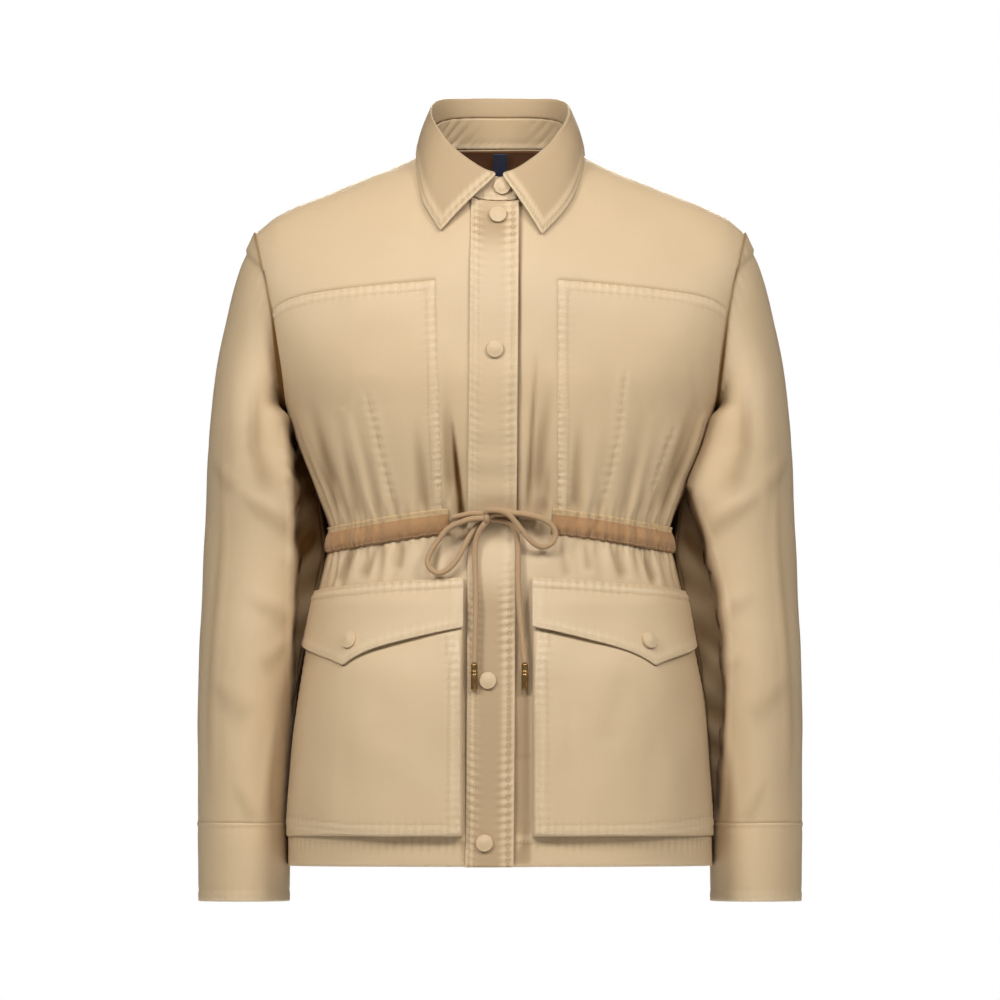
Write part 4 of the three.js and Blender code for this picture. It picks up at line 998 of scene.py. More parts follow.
share = np.arange(SLEEVE_COLUMNS)[None] / SLEEVE_COLUMNS
for side, hand, edge in SIDES:
    head = sleeve_head(side, edge, share[0], np.linspace(0, 1, 42))
    z = np.linspace(SLEEVE_TOP, CUFF_TOP + 0.15, 108)[1:, None]
    plain = beside_body(np.concatenate([head, sleeve_point(side, share, z)]), share)
    fall = arcs(plain)["top"]
    fall = fall - fall[1]
    girth = share * SLEEVE_GIRTH
    x, y, z = np.abs(plain[..., 0]), plain[..., 1], plain[..., 2]
    folds = creases(SLEEVE_CREASES, girth, z)
    head_puckers = 0.5 * np.sin(2 * np.pi * girth / 11 + np.sin(girth / 17)) * bell(fall, 11)
    from_pleat = (girth - CUFF_PLEATS) % CUFF_PLEAT / CUFF_PLEAT - 0.5
    cuff_pleats = 0.9 * bell(from_pleat, 0.25) * bell(z - CUFF_TOP, 26) * (np.abs(girth - CUFF_PLEATS) < 22)
    relief = (folds + slack(girth, y, z, 0.35)) * smooth(0, 30, fall)
    relief = relief + head_puckers * smooth(0, 3, fall) + cuff_pleats

    # The front of the sleeve folds back to its underside, which is crumpled and carries painted shade.
    fold_x = along(UNDERSIDE[hand], "x", z)
    inside = (share < 0.5) * (share > 0.25) * smooth(-230, -262, z)
    behind = smooth(fold_x, fold_x - 6, x) * inside * smooth(-606, -580, z)
    middle = (along(SLEEVE, "front", z) + along(SLEEVE, "back", z)) / 2
    plain = plain + np.stack([0 * middle, np.clip(middle - y, 0, None) * behind, 0 * middle], -1)
    crumple = np.sin(z / 8 + 1.5 * np.sin(z / 19 + x / 9)) + 0.6 * np.sin(z / 4.7 + x / 5)
    ridge = 0.8 * bell(x - fold_x - 2, 2.5) * inside
    relief = relief + 1.1 * behind * crumple + ridge
    relief = relief + seam(fall) + seam(z - CUFF_TOP) + shoulder_pleat(plain)
    sleeve = raised(plain, relief, -side, closed=True)
    # Painted shade on the crumpled underside; the fold's ridge is paler.
    wear_and_shade = 0.6 * ridge - (along(UNDERSIDE[hand], "dark", z) + 0.12 * crumple) * behind
    # Painted shade in the sleeve's folds and in a thin line along its armhole seam.
    wear_and_shade = wear_and_shade + 0.16 * np.clip(folds, None, 0) - 0.7 * bell(fall, 1.4)
    # Painted shade on the front of the sleeve head beside the armhole seam, low down.
    shade_width, shade_depth = SEAM_SHADE[hand]
    wear_and_shade = wear_and_shade - shade_depth * bell(fall, shade_width) * smooth(-112, -200, z) * (share < 0.5)
    # Painted shade on the inner quarter of the sleeve that is drawn in behind the body.
    wear_and_shade = wear_and_shade - 0.9 * smooth(0.47, 0.53, share) * smooth(0.74, 0.62, share) * smooth(-222, -258, z)
    made = cloth_piece(f"sleeve_cloth_{hand}", sleeve, CLOTH, tan_cotton, -side, closed=True, wear_and_shade=wear_and_shade)
    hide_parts(f"sleeve_{hand}")

    z = np.linspace(CUFF_TOP - 0.15, CUFF_END, 40)[:, None]
    plain = sleeve_point(side, share, np.full_like(z, CUFF_TOP), 0.5 * smooth(CUFF_TOP, CUFF_END, z))
    plain = np.concatenate([plain[..., :2], z[:, :, None] + 0 * plain[..., :1]], -1)
    girth = share * CUFF_GIRTH
    relief = stitched(CUFF_TOP - z, girth, (CUFF_TOP_ROW,), 0.25)
    relief = relief + stitched(z - CUFF_END, girth, (CUFF_END_ROW,), 0.3)
    relief = relief + seam(CUFF_TOP - z) + slack(girth, plain[..., 1], plain[..., 2], 0.15)
    cuff = raised(plain, relief, -side, closed=True)
    wear_and_shade = fading(z - CUFF_END, 2.5) + 0 * girth
    made = cloth_piece(f"cuff_band_{hand}", cuff, DOUBLE, tan_cotton, -side, closed=True, wear_and_shade=wear_and_shade)
    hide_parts(f"cuff_{hand}")
    ring = np.concatenate([cuff, cuff[:, :1]], 1)
    rows = {"top": CUFF_TOP_ROW, "bottom": CUFF_END_ROW}
    lines = [border_line(ring, -side, border, row) for border, row in rows.items()]
    sew(f"stitches_cuff_{hand}", lines, thread)

# The placket: a double strip sewn to the right front by two rows of stitches, lapping over the left
# front, with its free edge towards the wearer's left.
PLACKET_SEWN = -25.5
PLACKET_FACE = 2.6
PLACKET_ROWS = (2.2, 7.4)
PLACKET_FREE_ROW = 5


def front_place(x, z, above):
    """A point that lies so far above the bare front, at a given distance from its middle."""
    return body_point(-1, round_at(-np.asarray(x, float), z), z, above)


def neck_z(x):
    """Height of the neck seam in front."""
    return along(COLLAR, "seam", np.degrees(np.arcsin(np.clip(np.abs(x) / NECK_HALF, 0, 1))))


x = np.linspace(PLACKET_SEWN, PLACKET_FREE, 34)[None]
z = mix(neck_z(x) - 1, HEM, np.linspace(0, 1, 290)[:, None])
plain = front_place(x - PLACKET_DRIFT * z / HEM, z, PLACKET_FACE)
measured = arcs(plain)
ripple = 0.5 * np.sin(z / 12 + 0.8 * np.sin(z / 29)) * bell(x - PLACKET_FREE, 9)
drawn = -0.9 * bell(z - WAIST_FRONT, 9) + 0.5 * np.sin(z / 4.5) * bell(z + 290, 48)
free_edge = 1.3 * fading(measured["right"], 6)
sewn = stitched(measured["left"], measured["top"], PLACKET_ROWS)
sewn = sewn + stitched(measured["right"], measured["top"], (PLACKET_FREE_ROW,))
relief = sewn + slack(x, 0, z, 0.2) + ripple + drawn + free_edge + recess(x, z)
placket = raised(plain, relief, -1)
wear_and_shade = np.maximum(sewn, -0.1) + 0.7 * fading(np.minimum(measured["left"], measured["right"]), 1.5)
# Painted shade in the recess between the pockets.
wear_and_shade = wear_and_shade + 0.09 * recess(x, z)
# Painted shadow of the collar's front edges across the top of the placket.
wear_and_shade = wear_and_shade - 0.35 * bell(z + 62, 20)
made = cloth_piece("placket_strip", placket, DOUBLE, tan_cotton, -1, wear_and_shade=wear_and_shade)
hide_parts("placket")
lines = [border_line(placket, -1, "left", distance, (1, 1)) for distance in PLACKET_ROWS]
lines.append(border_line(placket, -1, "right", PLACKET_FREE_ROW, (1, 1)))
sew("stitches_placket", lines, thread)

# The waist tape: the cord's channel, a herringbone tape in a darker tan, stitched along both edges
# over the gathers, from one side of the placket round the back to the other.
TAPE_START = 1.5
TAPE_FACE = 1.9
TAPE_PLUMP = 3.4
TAPE_ROW = 2
# Metres on the tape's map: its bound edge, half a herringbone and one rib
TAPE_BINDING = 0.0045
TAPE_ZIGZAG = 0.0037
TAPE_RIB = 0.0017

right = -np.arange(TAPE_START, SIDE, 0.05)
back_half = np.arange(SIDE, 30.0, 0.05)
left = np.arange(SIDE, TAPE_START, -0.05)
sides = np.concatenate([-np.ones(len(right)), np.where(back_half < 20, -1, 1), np.ones(len(left))])
gathers = np.concatenate([-right, np.where(back_half < 20, back_half, 40 - back_half), left])[None]
down = np.linspace(TAPE_HALF, -TAPE_HALF, 13)[:, None]
z = waist_height(gathers / SIDE) + down
sides = np.broadcast_to(sides[None], z.shape)
lift = gather_lift(sides, gathers, gathers / SIDE, z) + TAPE_FACE
plump = TAPE_PLUMP * np.clip(1 - ((down + 2.2) / 8.6) ** 2, 0, 1) ** 0.6
lift = lift + plump * smooth(TAPE_START - 0.2, TAPE_START + 0.6, gathers)
plain = body_point(sides, gathers / SIDE, z, lift)
edge_stitch = -0.5 * bell(np.abs(down) - TAPE_HALF + TAPE_ROW, 0.9)
pucker = 0.5 * np.sin(gathers * 2 * np.pi * 2.6 + 2.5 * np.sin(gathers * 1.1)) * smooth(2, 9, np.abs(down))
slow_pucker = np.sin(gathers * 2 * np.pi * 0.9 + 2 * np.sin(gathers * 1.7))
pucker = pucker + 0.7 * slow_pucker * bell(down + 2, 7)
tape = raised(plain, edge_stitch + pucker, 1)

tape_material, tree, shader = surface(
    "herringbone tape", Roughness=0.8, Sheen_Weight=0.2, Specular_IOR_Level=0.3
)
place = node(tree, "ShaderNodeUVMap", {}, uv_map="cloth").outputs["UV"]
parts = node(tree, "ShaderNodeSeparateXYZ", {"Vector": place}).outputs
zigzag = reckon(tree, "PINGPONG", parts["Y"], TAPE_ZIGZAG)
turned = reckon(tree, "MULTIPLY", reckon(tree, "ADD", parts["X"], zigzag), 2 * np.pi / TAPE_RIB)
ribbed = reckon(tree, "SINE", turned)
dye = blend(tree, spread(tree, ribbed, -1.0, 1.0, 0.0, 1.0), linear(142, 100, 60), linear(186, 146, 102))
bound = reckon(tree, "LESS_THAN", parts["Y"], TAPE_BINDING)
tree.links.new(blend(tree, bound, dye, linear(196, 166, 122)), shader.inputs["Base Color"])
ribs = node(tree, "ShaderNodeBump", {"Strength": 0.5, "Distance": 0.0003, "Height": ribbed})
tree.links.new(ribs.outputs[0], shader.inputs["Normal"])
made = cloth_piece("tape_band", tape, 1.5, tape_material)
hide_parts("waist_tape")
lines = [border_line(tape, 1, border, TAPE_ROW, (1, 1)) for border in ("top", "bottom")]
sew("stitches_tape", lines, thread)

# The bellows pockets: each face stands off the skirt on a gusset, deep beside the placket and fading
# out at the side. A flap with a blunt point hangs over the open top from its own seam.
POCKET_INNER = {"right": 33, "left": 29}
POCKET_OUTER = 0.955
POCKET_OPEN = -410
POCKET_BOTTOM = -612
POCKET_LIFT = 0.7
POCKET_DEPTH = 8
POCKET_CLOTH = 1.6
FLAP_POINT = 0.5
# Rows of stitches, and the share of the pocket and the millimetres that turn down to the skirt
POCKET_ROWS = (1.8, 8.6)
FLAP_ROWS = (1.8, 8.4)
FLAP_EDGE_ROW = 2
GUSSET_SHARE = 0.018
GUSSET = 8
POCKET_ROUND = 2.5
GUSSET_ROWS = 9


def pocket_round(hand, across, z):
    """How far round the body a place of the pocket lies; its inner edge runs straight down."""
    return mix(round_at(POCKET_INNER[hand], z), POCKET_OUTER, across)


def pocket_lift(across, z):
    """How far the pocket's face stands off the skirt."""
    depth = POCKET_DEPTH * (1 - smooth(0.25, 0.95, across))
    return POCKET_LIFT + depth * mix(0.25, 1, smooth(POCKET_OPEN, POCKET_OPEN - 60, z))


def flap_point(side, hand, across, down):
    """A flap, from its seam to its edge, which falls to a blunt point and turns out a little."""
    top = -381 - 13 * across
    inner, outer = across / FLAP_POINT, (1 - across) / (1 - FLAP_POINT)
    inner_edge, outer_edge = -424 - 27 * inner - 7.5 * inner**6, -441 - 14 * outer - 3.5 * outer**6
    edge = np.where(across < FLAP_POINT, inner_edge, outer_edge)
    z = mix(top, edge, down)
    over = pocket_lift(across, np.minimum(z, POCKET_OPEN)) + POCKET_CLOTH + 0.9
    lift = mix(1.1, over, smooth(top, POCKET_OPEN + 4, z))
    return body_point(side, pocket_round(hand, across, z), z, lift + 1.2 * down**2)


# Folds of the pocket faces: half width, as a number below 0, and height of two ends, width and depth
POCKET_CREASES = [
    (-60, -470, -66, -560, 14, 0.7),
    (-112, -462, -104, -530, 16, 0.8),
    (-140, -520, -138, -596, 14, 0.8),
]
for side, hand, edge in SIDES:
    quarter = np.linspace(0, np.pi / 2, GUSSET_ROWS)
    foot = np.sin(quarter)
    beyond_gusset = np.linspace(GUSSET_SHARE, 1, 84)[1:]
    across = np.concatenate([GUSSET_SHARE * (1 - np.cos(quarter)), beyond_gusset])[None]
    rise_in = np.concatenate([foot, np.ones(83)])[None]
    bottom = POCKET_BOTTOM + POCKET_ROUND * (1 - np.cos(quarter[::-1]))
    z = np.concatenate([np.linspace(POCKET_OPEN, POCKET_BOTTOM + POCKET_ROUND, 96)[:-1], bottom])[:, None]
    rise_low = np.concatenate([np.ones(95), foot[::-1]])[:, None]
    rise = rise_in * rise_low
    face = (pocket_lift(across, z) - POCKET_LIFT) * rise
    plain = body_point(side, pocket_round(hand, across, z), z, POCKET_LIFT + face + POCKET_CLOTH)
    measured = arcs(plain)
    from_left, from_bottom = measured["left"] - GUSSET, measured["bottom"] - GUSSET
    sewn = stitched(from_left, measured["top"], POCKET_ROWS) * (from_left > -1)
    sewn = sewn + stitched(from_bottom, measured["left"], POCKET_ROWS) * (from_bottom > -1)
    sewn = sewn + stitched(measured["right"], measured["top"], POCKET_ROWS, puckered=0.2)
    x, y, depth = np.moveaxis(plain, -1, 0)
    relief = sewn + slack(x, y, depth, 0.42) + creases(POCKET_CREASES, -np.abs(x), depth)
    pocket = raised(plain, relief * rise, -side)
    from_gusset = np.minimum(np.abs(from_left), np.abs(from_bottom))
    wear_and_shade = np.maximum(1.2 * sewn, -0.12) + 0.7 * fading(from_gusset, 1.5)
    made = cloth_piece(f"pocket_face_{hand}", pocket, POCKET_CLOTH, tan_cotton, -side, wear_and_shade=wear_and_shade)
    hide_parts(f"pocket_{hand}")
    lines = [border_line(pocket, -side, "left", GUSSET + row, (2, GUSSET)) for row in POCKET_ROWS]
    lines += [border_line(pocket, -side, "bottom", GUSSET + row, (GUSSET, 3)) for row in POCKET_ROWS]
    sew(f"stitches_pocket_{hand}", lines, thread)

    across, down = np.linspace(0, 1, 84)[None], np.linspace(0, 1, 34)[:, None]
    plain = raised(flap_point(side, hand, across, down), DOUBLE + 0 * across * down, -side)
    measured = arcs(plain)
    border = np.minimum(measured["bottom"], np.minimum(measured["left"], measured["right"]))
    sewn = stitched(measured["top"], measured["left"], FLAP_ROWS)
    sewn = sewn + stitched(border, measured["left"], (FLAP_EDGE_ROW,), puckered=0.2)
    band = 0.9 * smooth(10, 7, measured["top"])
    relief = sewn + band + slack(*np.moveaxis(plain, -1, 0), 0.36)
    relief = relief + 1.1 * np.sin(across * 9 + side) * down**2
    flap = raised(plain, relief, -side)
    wear_and_shade = np.maximum(1.2 * sewn, -0.12) + 0.7 * fading(border, 1.5)
    made = cloth_piece(f"flap_face_{hand}", flap, DOUBLE, tan_cotton, -side, wear_and_shade=wear_and_shade)
    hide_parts(f"flap_{hand}")
    lines = [border_line(flap, -side, "top", row, (1, 1)) for row in FLAP_ROWS]
    lines += [border_line(flap, -side, border, FLAP_EDGE_ROW, (2, 2)) for border in ("bottom", "left")]
    sew(f"stitches_flap_{hand}", lines, thread)

# The collar: a double stand on the neck seam and a leaf that rolls over it and falls on the yoke, its
# front edges spreading from the middle to two points.
RING = (59, -6, 60)
LEAF_CORE = np.array([0, 0, -90.0])
LEAF_EDGE = 3.2
LEAF_SWELL = 2.2
STAND_ROW = 1.6
LEAF_ROW = 2.6
LEAF_CREASES = [(-70, -2, -76, -38, 9, 1.0), (66, 4, 72, -34, 9, 0.9)]


def collar_row(turn, name):
    """One of the collar's columns; turn runs from the front over the wearer's right shoulder."""
    folded = np.where(np.abs(turn) > 180, 360 - np.abs(turn), np.abs(turn))
    return along(COLLAR, name, folded)


def ring_point(turn, wider, deeper, back, z):
    """A point on the oval that the stand's upper edge follows, made wider and deeper and set back
    by some millimetres."""
    angle = np.radians(turn)
    half, middle, depth = RING
    y = middle - back - (depth + deeper) * np.cos(angle)
    return np.stack([-(half + wider) * np.sin(angle), y, z + 0 * turn], -1)


def stand_point(turn, down):
    """The stand, from its upper edge to the neck seam."""
    angle = np.radians(turn)
    seam_z = collar_row(turn, "seam")
    x = np.abs(NECK_HALF * np.sin(angle))
    around = np.where(np.cos(angle) > 0, round_at(x, seam_z), 2 - round_at(x, seam_z))
    side = np.where((turn >= 0) & (turn < 180), -1, 1)
    low = (body_point(side, around, seam_z) + np.array([0, 0, 0.8])) * np.array([0.985, 0.985, 1])
    return mix(ring_point(turn, 0, 0, 0, collar_row(turn, "stand")), low, down[..., None])


def leaf_point(turn, down):
    """The leaf, 0 at the stand, 2 at the fold and 6 at its edge: straight runs with a light swell,
    joined by a smooth curve through their ends."""
    stand, fold, out_z = (collar_row(turn, name) for name in ("stand", "fold", "edge"))
    side = np.where(turn < 180, -1, 1)
    out_x = np.where(turn < 180, collar_row(turn, "right"), collar_row(turn, "left"))
    around = np.where(np.cos(np.radians(turn)) > 0, round_at(out_x, out_z), 2 - round_at(out_x, out_z))
    edge = body_point(side, around, out_z)
    edge = edge + unit(edge - LEAF_CORE) * LEAF_EDGE
    path = [
        ring_point(turn, 0, 0, 0, stand + 1.4),
        ring_point(turn, 0.6, 0.8, 0.2, mix(stand, fold, 0.55)),
        ring_point(turn, 3, 3, 0.6, fold),
        ring_point(turn, 5.2, 6.5, 1, fold - 3.5),
    ]
    corner = path[3]
    for share in (0.33, 0.67, 1.0):
        point = mix(corner, edge, share)
        path.append(point + unit(point - LEAF_CORE) * LEAF_SWELL * np.sin(np.pi * share))
    path = np.stack(path)
    slopes = np.gradient(path, axis=0)
    row = np.clip(down.astype(int), 0, 5)
    t = (down - row)[..., None]
    line = np.arange(path.shape[1])[None]
    start = path[row, line]
    return cubic(start, path[row + 1, line] - start, slopes[row, line], slopes[row + 1, line], t)


turn = np.linspace(-13.6, 345, 200)[None]
plain = stand_point(turn + 0 * turn, np.linspace(0, 1, 20)[:, None] + 0 * turn)
measured = arcs(plain)
relief = stitched(measured["bottom"], measured["left"], (STAND_ROW,))
relief = relief + slack(*np.moveaxis(plain, -1, 0), 0.15)
ends = bell(turn - 135, 16) + bell(turn - 225, 16)
relief = relief + 0.6 * ends * np.sin(measured["left"] / 2.3 + 0.16 * measured["top"])
stand = raised(plain, 1 + relief, 1)
made = cloth_piece("stand_strip", stand, DOUBLE, tan_cotton, 1, wear_and_shade=fading(measured["bottom"], 2.5))
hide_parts("collar_stand")

turn = steps(5.2, 29, 30, 159, 330, 29, 356.5)
down = steps(0.0, 8, 2.0, 10, 3.2, 30, 6.0)[:, None]
plain = leaf_point(turn, down + 0 * turn)
measured = arcs(plain)
from_ends = np.minimum(measured["left"], measured["right"])
border = np.minimum(measured["bottom"], np.where(down > 2.6, from_ends, FAR))
sewn = stitched(border, measured["left"] + measured["top"], (LEAF_ROW,), puckered=0.15)
relief = sewn + slack(*np.moveaxis(plain, -1, 0), 0.3)
relief = relief + creases(LEAF_CREASES, plain[..., 0], plain[..., 2]) * (plain[..., 1] < 0)
leaf = raised(plain, 1 + relief, 1)
# The leaf gets painted shade all over, a little darker than the yoke, with pale edges.
made = cloth_piece("collar_fall", leaf, DOUBLE, tan_cotton, 1, wear_and_shade=sewn + 0.9 * fading(border, 1.5) - 0.28)
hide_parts("collar_leaf")
lines = [border_line(leaf, 1, "bottom", LEAF_ROW, (LEAF_ROW, LEAF_ROW))]
lines += [border_line(leaf[22:], 1, border, LEAF_ROW, (0, LEAF_ROW)) for border in ("left", "right")]
sew("stitches_collar", lines, thread)

# Inside the neck: a facing in brown cotton, and a plain navy tab hanging over it.
brown_cotton = cotton("brown cotton", (112, 70, 34), (130, 88, 50), (74, 46, 24), 1500.0, sheen=0.05)
navy_cotton = cotton("navy tape", (38, 48, 79), (46, 58, 92), (22, 28, 48), 1200.0)

plain = back_surface(np.linspace(-2, 2, 60)[None], np.linspace(0.1, 1.2, 50)[:, None])
facing = raised(plain, -1.6 + slack(*np.moveaxis(plain, -1, 0), 0.05), 1)
made = cloth_piece("facing_cloth", facing, 1.0, brown_cotton)
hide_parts("back_facing")
plain = back_surface(np.linspace(-0.15, 0.15, 12)[None], np.linspace(0.14, 0.64, 24)[:, None])
tab = raised(plain, -4.0 + 0 * plain[..., 0], 1)
made = cloth_piece("tab_cloth", tab, 0.8, navy_cotton)
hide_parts("neck_tab")

# The snaps: smooth domes covered in the jacket's cloth.
SNAP_RADIUS = 7.8
SNAP_HEIGHT = 4.0
SNAP_RIM = 0.3
SNAPS = {
    "snap_front_1": (-1.8, -56),
    "snap_front_2": (-4.5, -175.5),
    "snap_front_3": (-11, -472.5),
    "snap_front_4": (-14, -618),
}


def capped_tube(name, grid, first, last, material, flat=None, facing=1):
    """A tube through a grid of rings, closed by a fan of triangles round a point at each end."""
    rows, count = grid.shape[:2]
    index = np.arange(rows * count).reshape(rows, count)
    beyond = np.roll(index, -1, 1)
    faces = np.stack([index[:-1], beyond[:-1], beyond[1:], index[1:]], -1).reshape(-1, 4).tolist()
    faces += np.stack([beyond[0], index[0], np.full(count, rows * count)], -1).tolist()
    faces += np.stack([index[-1], beyond[-1], np.full(count, rows * count + 1)], -1).tolist()
    mesh = bpy.data.meshes.new(name)
    points = np.concatenate([grid.reshape(-1, 3), first[None], last[None]]) / 1000
    mesh.from_pydata(points, [], [face[::facing] for face in faces])
    return placed(name, mesh, material, flat)


def snap_dome(name, foot, normal):
    """A dome turned about a normal: a rounded rim and a low crown."""
    share = np.linspace(0, 1, 22)
    rim = share < SNAP_RIM
    crown = (share - SNAP_RIM) / (1 - SNAP_RIM)
    radius = SNAP_RADIUS * np.where(rim, 1 - 0.08 * (share / SNAP_RIM) ** 3, 0.92 * (1 - crown))
    rim_height = np.sin(share / SNAP_RIM * np.pi / 2) * 0.72
    height = SNAP_HEIGHT * np.where(rim, rim_height, 0.72 + 0.28 * smooth(SNAP_RIM, 0.9, share))
    aside = unit(np.cross(normal, [0, 0, 1]))
    above = np.cross(aside, normal)
    turn = np.arange(48) * 2 * np.pi / 48
    rings = np.cos(turn)[:, None] * aside + np.sin(turn)[:, None] * above
    points = foot + radius[:, None, None] * rings[None] + height[:, None, None] * normal
    away = np.concatenate([points[:-1].reshape(-1, 3), foot[None], points[-1:, 0]]) - foot
    flat = np.stack([away @ aside, away @ above], -1) / 1000
    made = capped_tube(name + "_dome", points[:-1], foot, points[-1, 0], tan_cotton, flat)
    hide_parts(name)
    return made


def snap_on(name, patch, facing, above):
    """A snap in the middle of a small patch of a surface, standing some millimetres above it."""
    normal = normals(patch, facing)[1, 1]
    snap_dome(name, patch[1, 1] + normal * above, normal)


beside = np.broadcast_to([-1.0, 0, 1.0], (3, 3))
below = beside.T
for name, (x, z) in SNAPS.items():
    patch = front_place(x + 3 * beside, z - 3 * below, 0)
    snap_on(name, patch, -1, PLACKET_FACE + 0.1 + recess(x, z))
snap_on("snap_stand", stand_point(-1.8 + 2 * beside, 0.42 + 0.1 * below), 1, 1.1)
for side, hand, edge in SIDES:
    across, down = 0.485 + 0.01 * beside, 0.72 + 0.06 * below
    snap_on(f"snap_flap_{hand}", flap_point(side, hand, across, down), -side, DOUBLE + 0.2)

# The drawcord: one braided cord for each hand comes out of the tape, passes the knot, makes a loop,
# passes the knot again and hangs down to a metal tip. Each row gives half width, height and how far
# the cord's middle lies above the bare front.
CORD_ACROSS = 5.0
KNOT = (-11.7, -326, 9.2)
CORD_RUNS = {
    "right": [
        (-43, -326.5, 4.4), (-36, -325, 5.6), (-29, -323.5, 6.2), (-22.5, -322.8, 6.4),
        (-16, -323.6, 7.2), (-12.6, -325.6, 10.4), (-17.4, -326.9, 12.4), (-24, -327.3, 13),
        (-33, -330, 12), (-45, -336, 10.5), (-53.5, -346, 9.5), (-60, -356, 9),
        (-63.5, -365, 9), (-61, -372, 9), (-54, -376, 9), (-46, -373, 9),
        (-38.5, -365, 9), (-33, -355, 8.5), (-28, -345, 7.5), (-22, -336, 6.4),
        (-15.7, -330, 6.4), (-11.8, -327.5, 9.2), (-13.9, -331.9, 12), (-17.5, -337, 11),
        (-21, -346, 8.8), (-22.3, -358, 7), (-22, -375, 6.2), (-21.6, -395, 5.9),
        (-21.8, -425, 5.9), (-22.8, -457, 6.1),
    ],
    "left": [
        (38, -327.5, 4.4), (31, -325, 4), (24, -323.5, 4.8), (15, -322.2, 6.2),
        (4, -321, 5.9), (-7.2, -321.6, 7.4), (-12, -322.4, 10.4), (-12, -320.9, 13.2),
        (-8, -319.5, 15.5), (-2, -319.8, 16.8), (4, -321.5, 17), (9.5, -325.5, 16.6),
        (15, -332, 15.5), (20.5, -339.5, 14), (27, -347, 12), (33, -351.5, 10.5),
        (40, -352.3, 9.6), (46, -348.5, 9.5), (48.6, -341, 9.5), (45.5, -333.5, 9.6),
        (38, -328, 10), (29, -325, 10.4), (20, -323.2, 11), (11, -322.6, 11.3),
        (3, -322.8, 11.5), (-6.4, -323.6, 11.6), (-10.6, -326, 9.6), (-5.7, -328, 7.2),
        (1, -328.8, 6), (7, -330.5, 5.9), (11.8, -334.5, 5.9), (14.6, -341, 5.9),
        (15.8, -352, 5.9), (16, -370, 5.9), (16.3, -392, 5.9), (18.8, -425, 5.9),
        (22, -457, 6.2),
    ],
}
CORD_STEP = 0.55
TIP_LENGTH = 24
TIP_RADIUS = 3.0
TIP_RINGS = (6, 9)
# How the bow's wrap runs round the knot: half its depth, height and width, its turns and its tilt
WRAP = (4.4, 4.6, 1.2)
WRAP_TURNS = 0.93
WRAP_TILT = 24


def smooth_run(knots):
    """A smooth curve through a list of points, sampled at even steps: cubic runs between the points
    with each point's slope taken from its two neighbours."""
    slopes = np.gradient(knots, axis=0)
    place = np.linspace(0, len(knots) - 1, 60 * len(knots))
    row = np.clip(place.astype(int), 0, len(knots) - 2)
    t = (place - row)[:, None]
    fine = cubic(knots[row], knots[row + 1] - knots[row], slopes[row], slopes[row + 1], t)
    length = way(fine)
    at = np.linspace(0, length[-1], int(length[-1] / CORD_STEP) + 1)
    return read_along(at, length, fine), at


def braid(name, points, at, strands=8, strand=5.2):
    """A braided cord along a curve: a tube whose surface rises where one of two sets of strands,
    winding opposite ways, passes over the other. Its frame is carried along without twisting."""
    radius = CORD_ACROSS / 2
    run = unit(np.gradient(points, axis=0))
    aside = np.cross(run[0], [0, 0, 1.0])
    asides = []
    for one in run:
        aside = unit(aside - one * (aside @ one))
        asides.append(aside)
    asides = np.array(asides)
    uprights = np.cross(run, asides)
    count = 28
    turn = np.arange(count) * 2 * np.pi / count
    wind = 2 * np.pi * at[:, None] / (strand * 2)
    over = np.cos(strands / 2 * turn[None] + wind) * np.cos(strands / 2 * turn[None] - wind)
    size = radius - 0.3 + 0.45 * np.abs(over) ** 0.6
    ends = np.minimum(at, at[-1] - at)[:, None]
    size = size * np.sqrt(1 - (1 - np.clip(ends / 1.2, 0.0, 1)) ** 2 * 0.6)
    ring = np.cos(turn)[None, :, None] * asides[:, None] + np.sin(turn)[None, :, None] * uprights[:, None]
    grid = points[:, None] + size[..., None] * ring
    flat = np.stack([np.tile(turn * radius, len(points)), np.repeat(at, count)], -1)
    flat = np.concatenate([flat, [[0, 0], [0, at[-1]]]]) / 1000
    return capped_tube(name, grid, points[0], points[-1], cord_cotton, flat)


cord_cotton = cotton("cord cotton", (170, 138, 100), (200, 172, 138), (104, 76, 46), 2600.0, 0.85)
brass, tree, shader = surface("antique brass", Metallic=1.0)
place = node(tree, "ShaderNodeTexCoord", {}).outputs["Object"]
tarnish = noise(tree, place, 420.0, 3.0)
tree.links.new(spread(tree, tarnish, 0.3, 0.7, 0.3, 0.5), shader.inputs["Roughness"])
aged = blend(tree, tarnish, linear(120, 92, 56), linear(186, 150, 98))
tree.links.new(aged, shader.inputs["Base Color"])

turn = np.linspace(0, 2 * np.pi * WRAP_TURNS, 40)
tilt = np.radians(WRAP_TILT)
deep, high, wide = WRAP
wrap = [wide * np.sin(turn) * np.sin(tilt), deep * np.cos(turn), high * np.sin(turn) * np.cos(tilt)]
knot_piece = braid("knot_wrap", *smooth_run(front_place(*KNOT) + np.stack(wrap, -1)))
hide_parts("bow_knot")

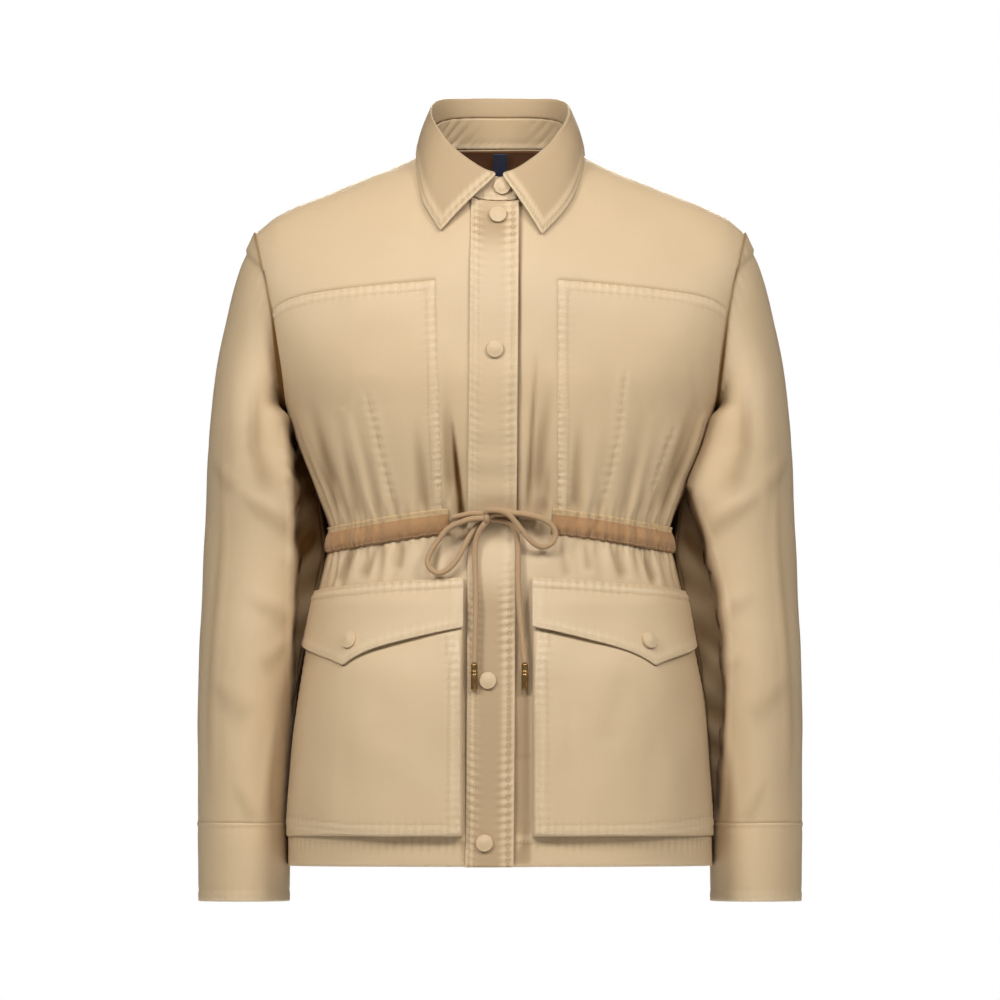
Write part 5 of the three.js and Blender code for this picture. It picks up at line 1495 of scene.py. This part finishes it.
for side, hand, edge in SIDES:
    knots = np.array([front_place(*row) for row in CORD_RUNS[hand]])
    points, at = smooth_run(knots)
    cord = braid(f"draw_cord_{hand}", points, at)
    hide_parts(*(f"cord_{part}_{hand}" for part in ("lead", "loop", "end")))

    # The tip: a turned tube with a rolled rim at its mouth, two pressed rings and a rounded end
    down = np.linspace(0, TIP_LENGTH, 60)
    rounding = np.clip((down - TIP_LENGTH + 1.6) / 1.6, 0, 1) ** 2
    radius = TIP_RADIUS * np.sqrt(np.clip(1 - rounding * 0.9, 0, 1))
    for ring in TIP_RINGS:
        radius = radius - 0.35 * bell(down - ring, 0.6)
    radius = (radius - 0.5 * bell(down, 0.5))[:, None]
    turn = np.arange(32) * 2 * np.pi / 32
    top = points[-1] - np.array([0, 0, 0.3])
    grid = top + np.stack([radius * np.cos(turn), radius * np.sin(turn), -down[:, None] + 0 * turn], -1)
    end = top - [0, 0, TIP_LENGTH]
    tip = capped_tube(f"tip_metal_{hand}", grid, top, end, brass, facing=-1)
    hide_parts(f"cord_tip_{hand}")

# The studio: a pale floor well below the hem, a white room and large soft lights in front and behind.
FLOOR_HEIGHT = -1.05
FLOOR_RADIUS = 1.3
LIGHTS_AIM = (0, 0, -0.3)
AMBIENT = 0.08
LIGHTS = [
    ("left light", (-1.5, -1.8, 1.15), 0.8, 42),
    ("right light", (1.6, -1.8, 1.15), 0.8, 37),
    ("front light", (0.05, -1.6, 1.05), 0.8, 17),
    ("top light", (0, 0.3, 2.2), 1.2, 7),
    ("back light", (0.1, 2.6, 0.9), 1.2, 85),
]

bpy.ops.mesh.primitive_circle_add(
    vertices=96, radius=FLOOR_RADIUS, fill_type="NGON", location=(0, 0, FLOOR_HEIGHT)
)
floor = bpy.context.object
floor.name = "studio_floor"
floor.data.materials.append(surface("pale floor", Base_Color=(0.8, 0.8, 0.8, 1), Roughness=0.9)[0])

for name, spot, size, power in LIGHTS:
    light = bpy.data.lights.new(name, "AREA")
    light.shape = "DISK"
    light.size = size
    light.energy = power
    lamp = bpy.data.objects.new(name, light)
    lamp.location = spot
    aim = unit(np.array(LIGHTS_AIM) - np.array(spot))
    lamp.rotation_euler = (np.arccos(-aim[2]), 0, np.arctan2(aim[1], aim[0]) - np.pi / 2)
    bpy.context.scene.collection.objects.link(lamp)

room = bpy.data.worlds.new("white room")
room.use_nodes = True
tree = room.node_tree
straight = node(tree, "ShaderNodeLightPath", {}).outputs["Is Camera Ray"]
ambient = tree.nodes["Background"]
ambient.inputs["Color"].default_value = (1, 1, 1, 1)
ambient.inputs["Strength"].default_value = AMBIENT
backdrop = node(tree, "ShaderNodeBackground", {"Color": (1, 1, 1, 1), "Strength": 1.0})
both = node(tree, "ShaderNodeMixShader", {0: straight, 1: ambient.outputs[0], 2: backdrop.outputs[0]})
tree.links.new(both.outputs[0], tree.nodes["World Output"].inputs["Surface"])
bpy.context.scene.world = room
bpy.context.scene.view_settings.view_transform = "Standard"
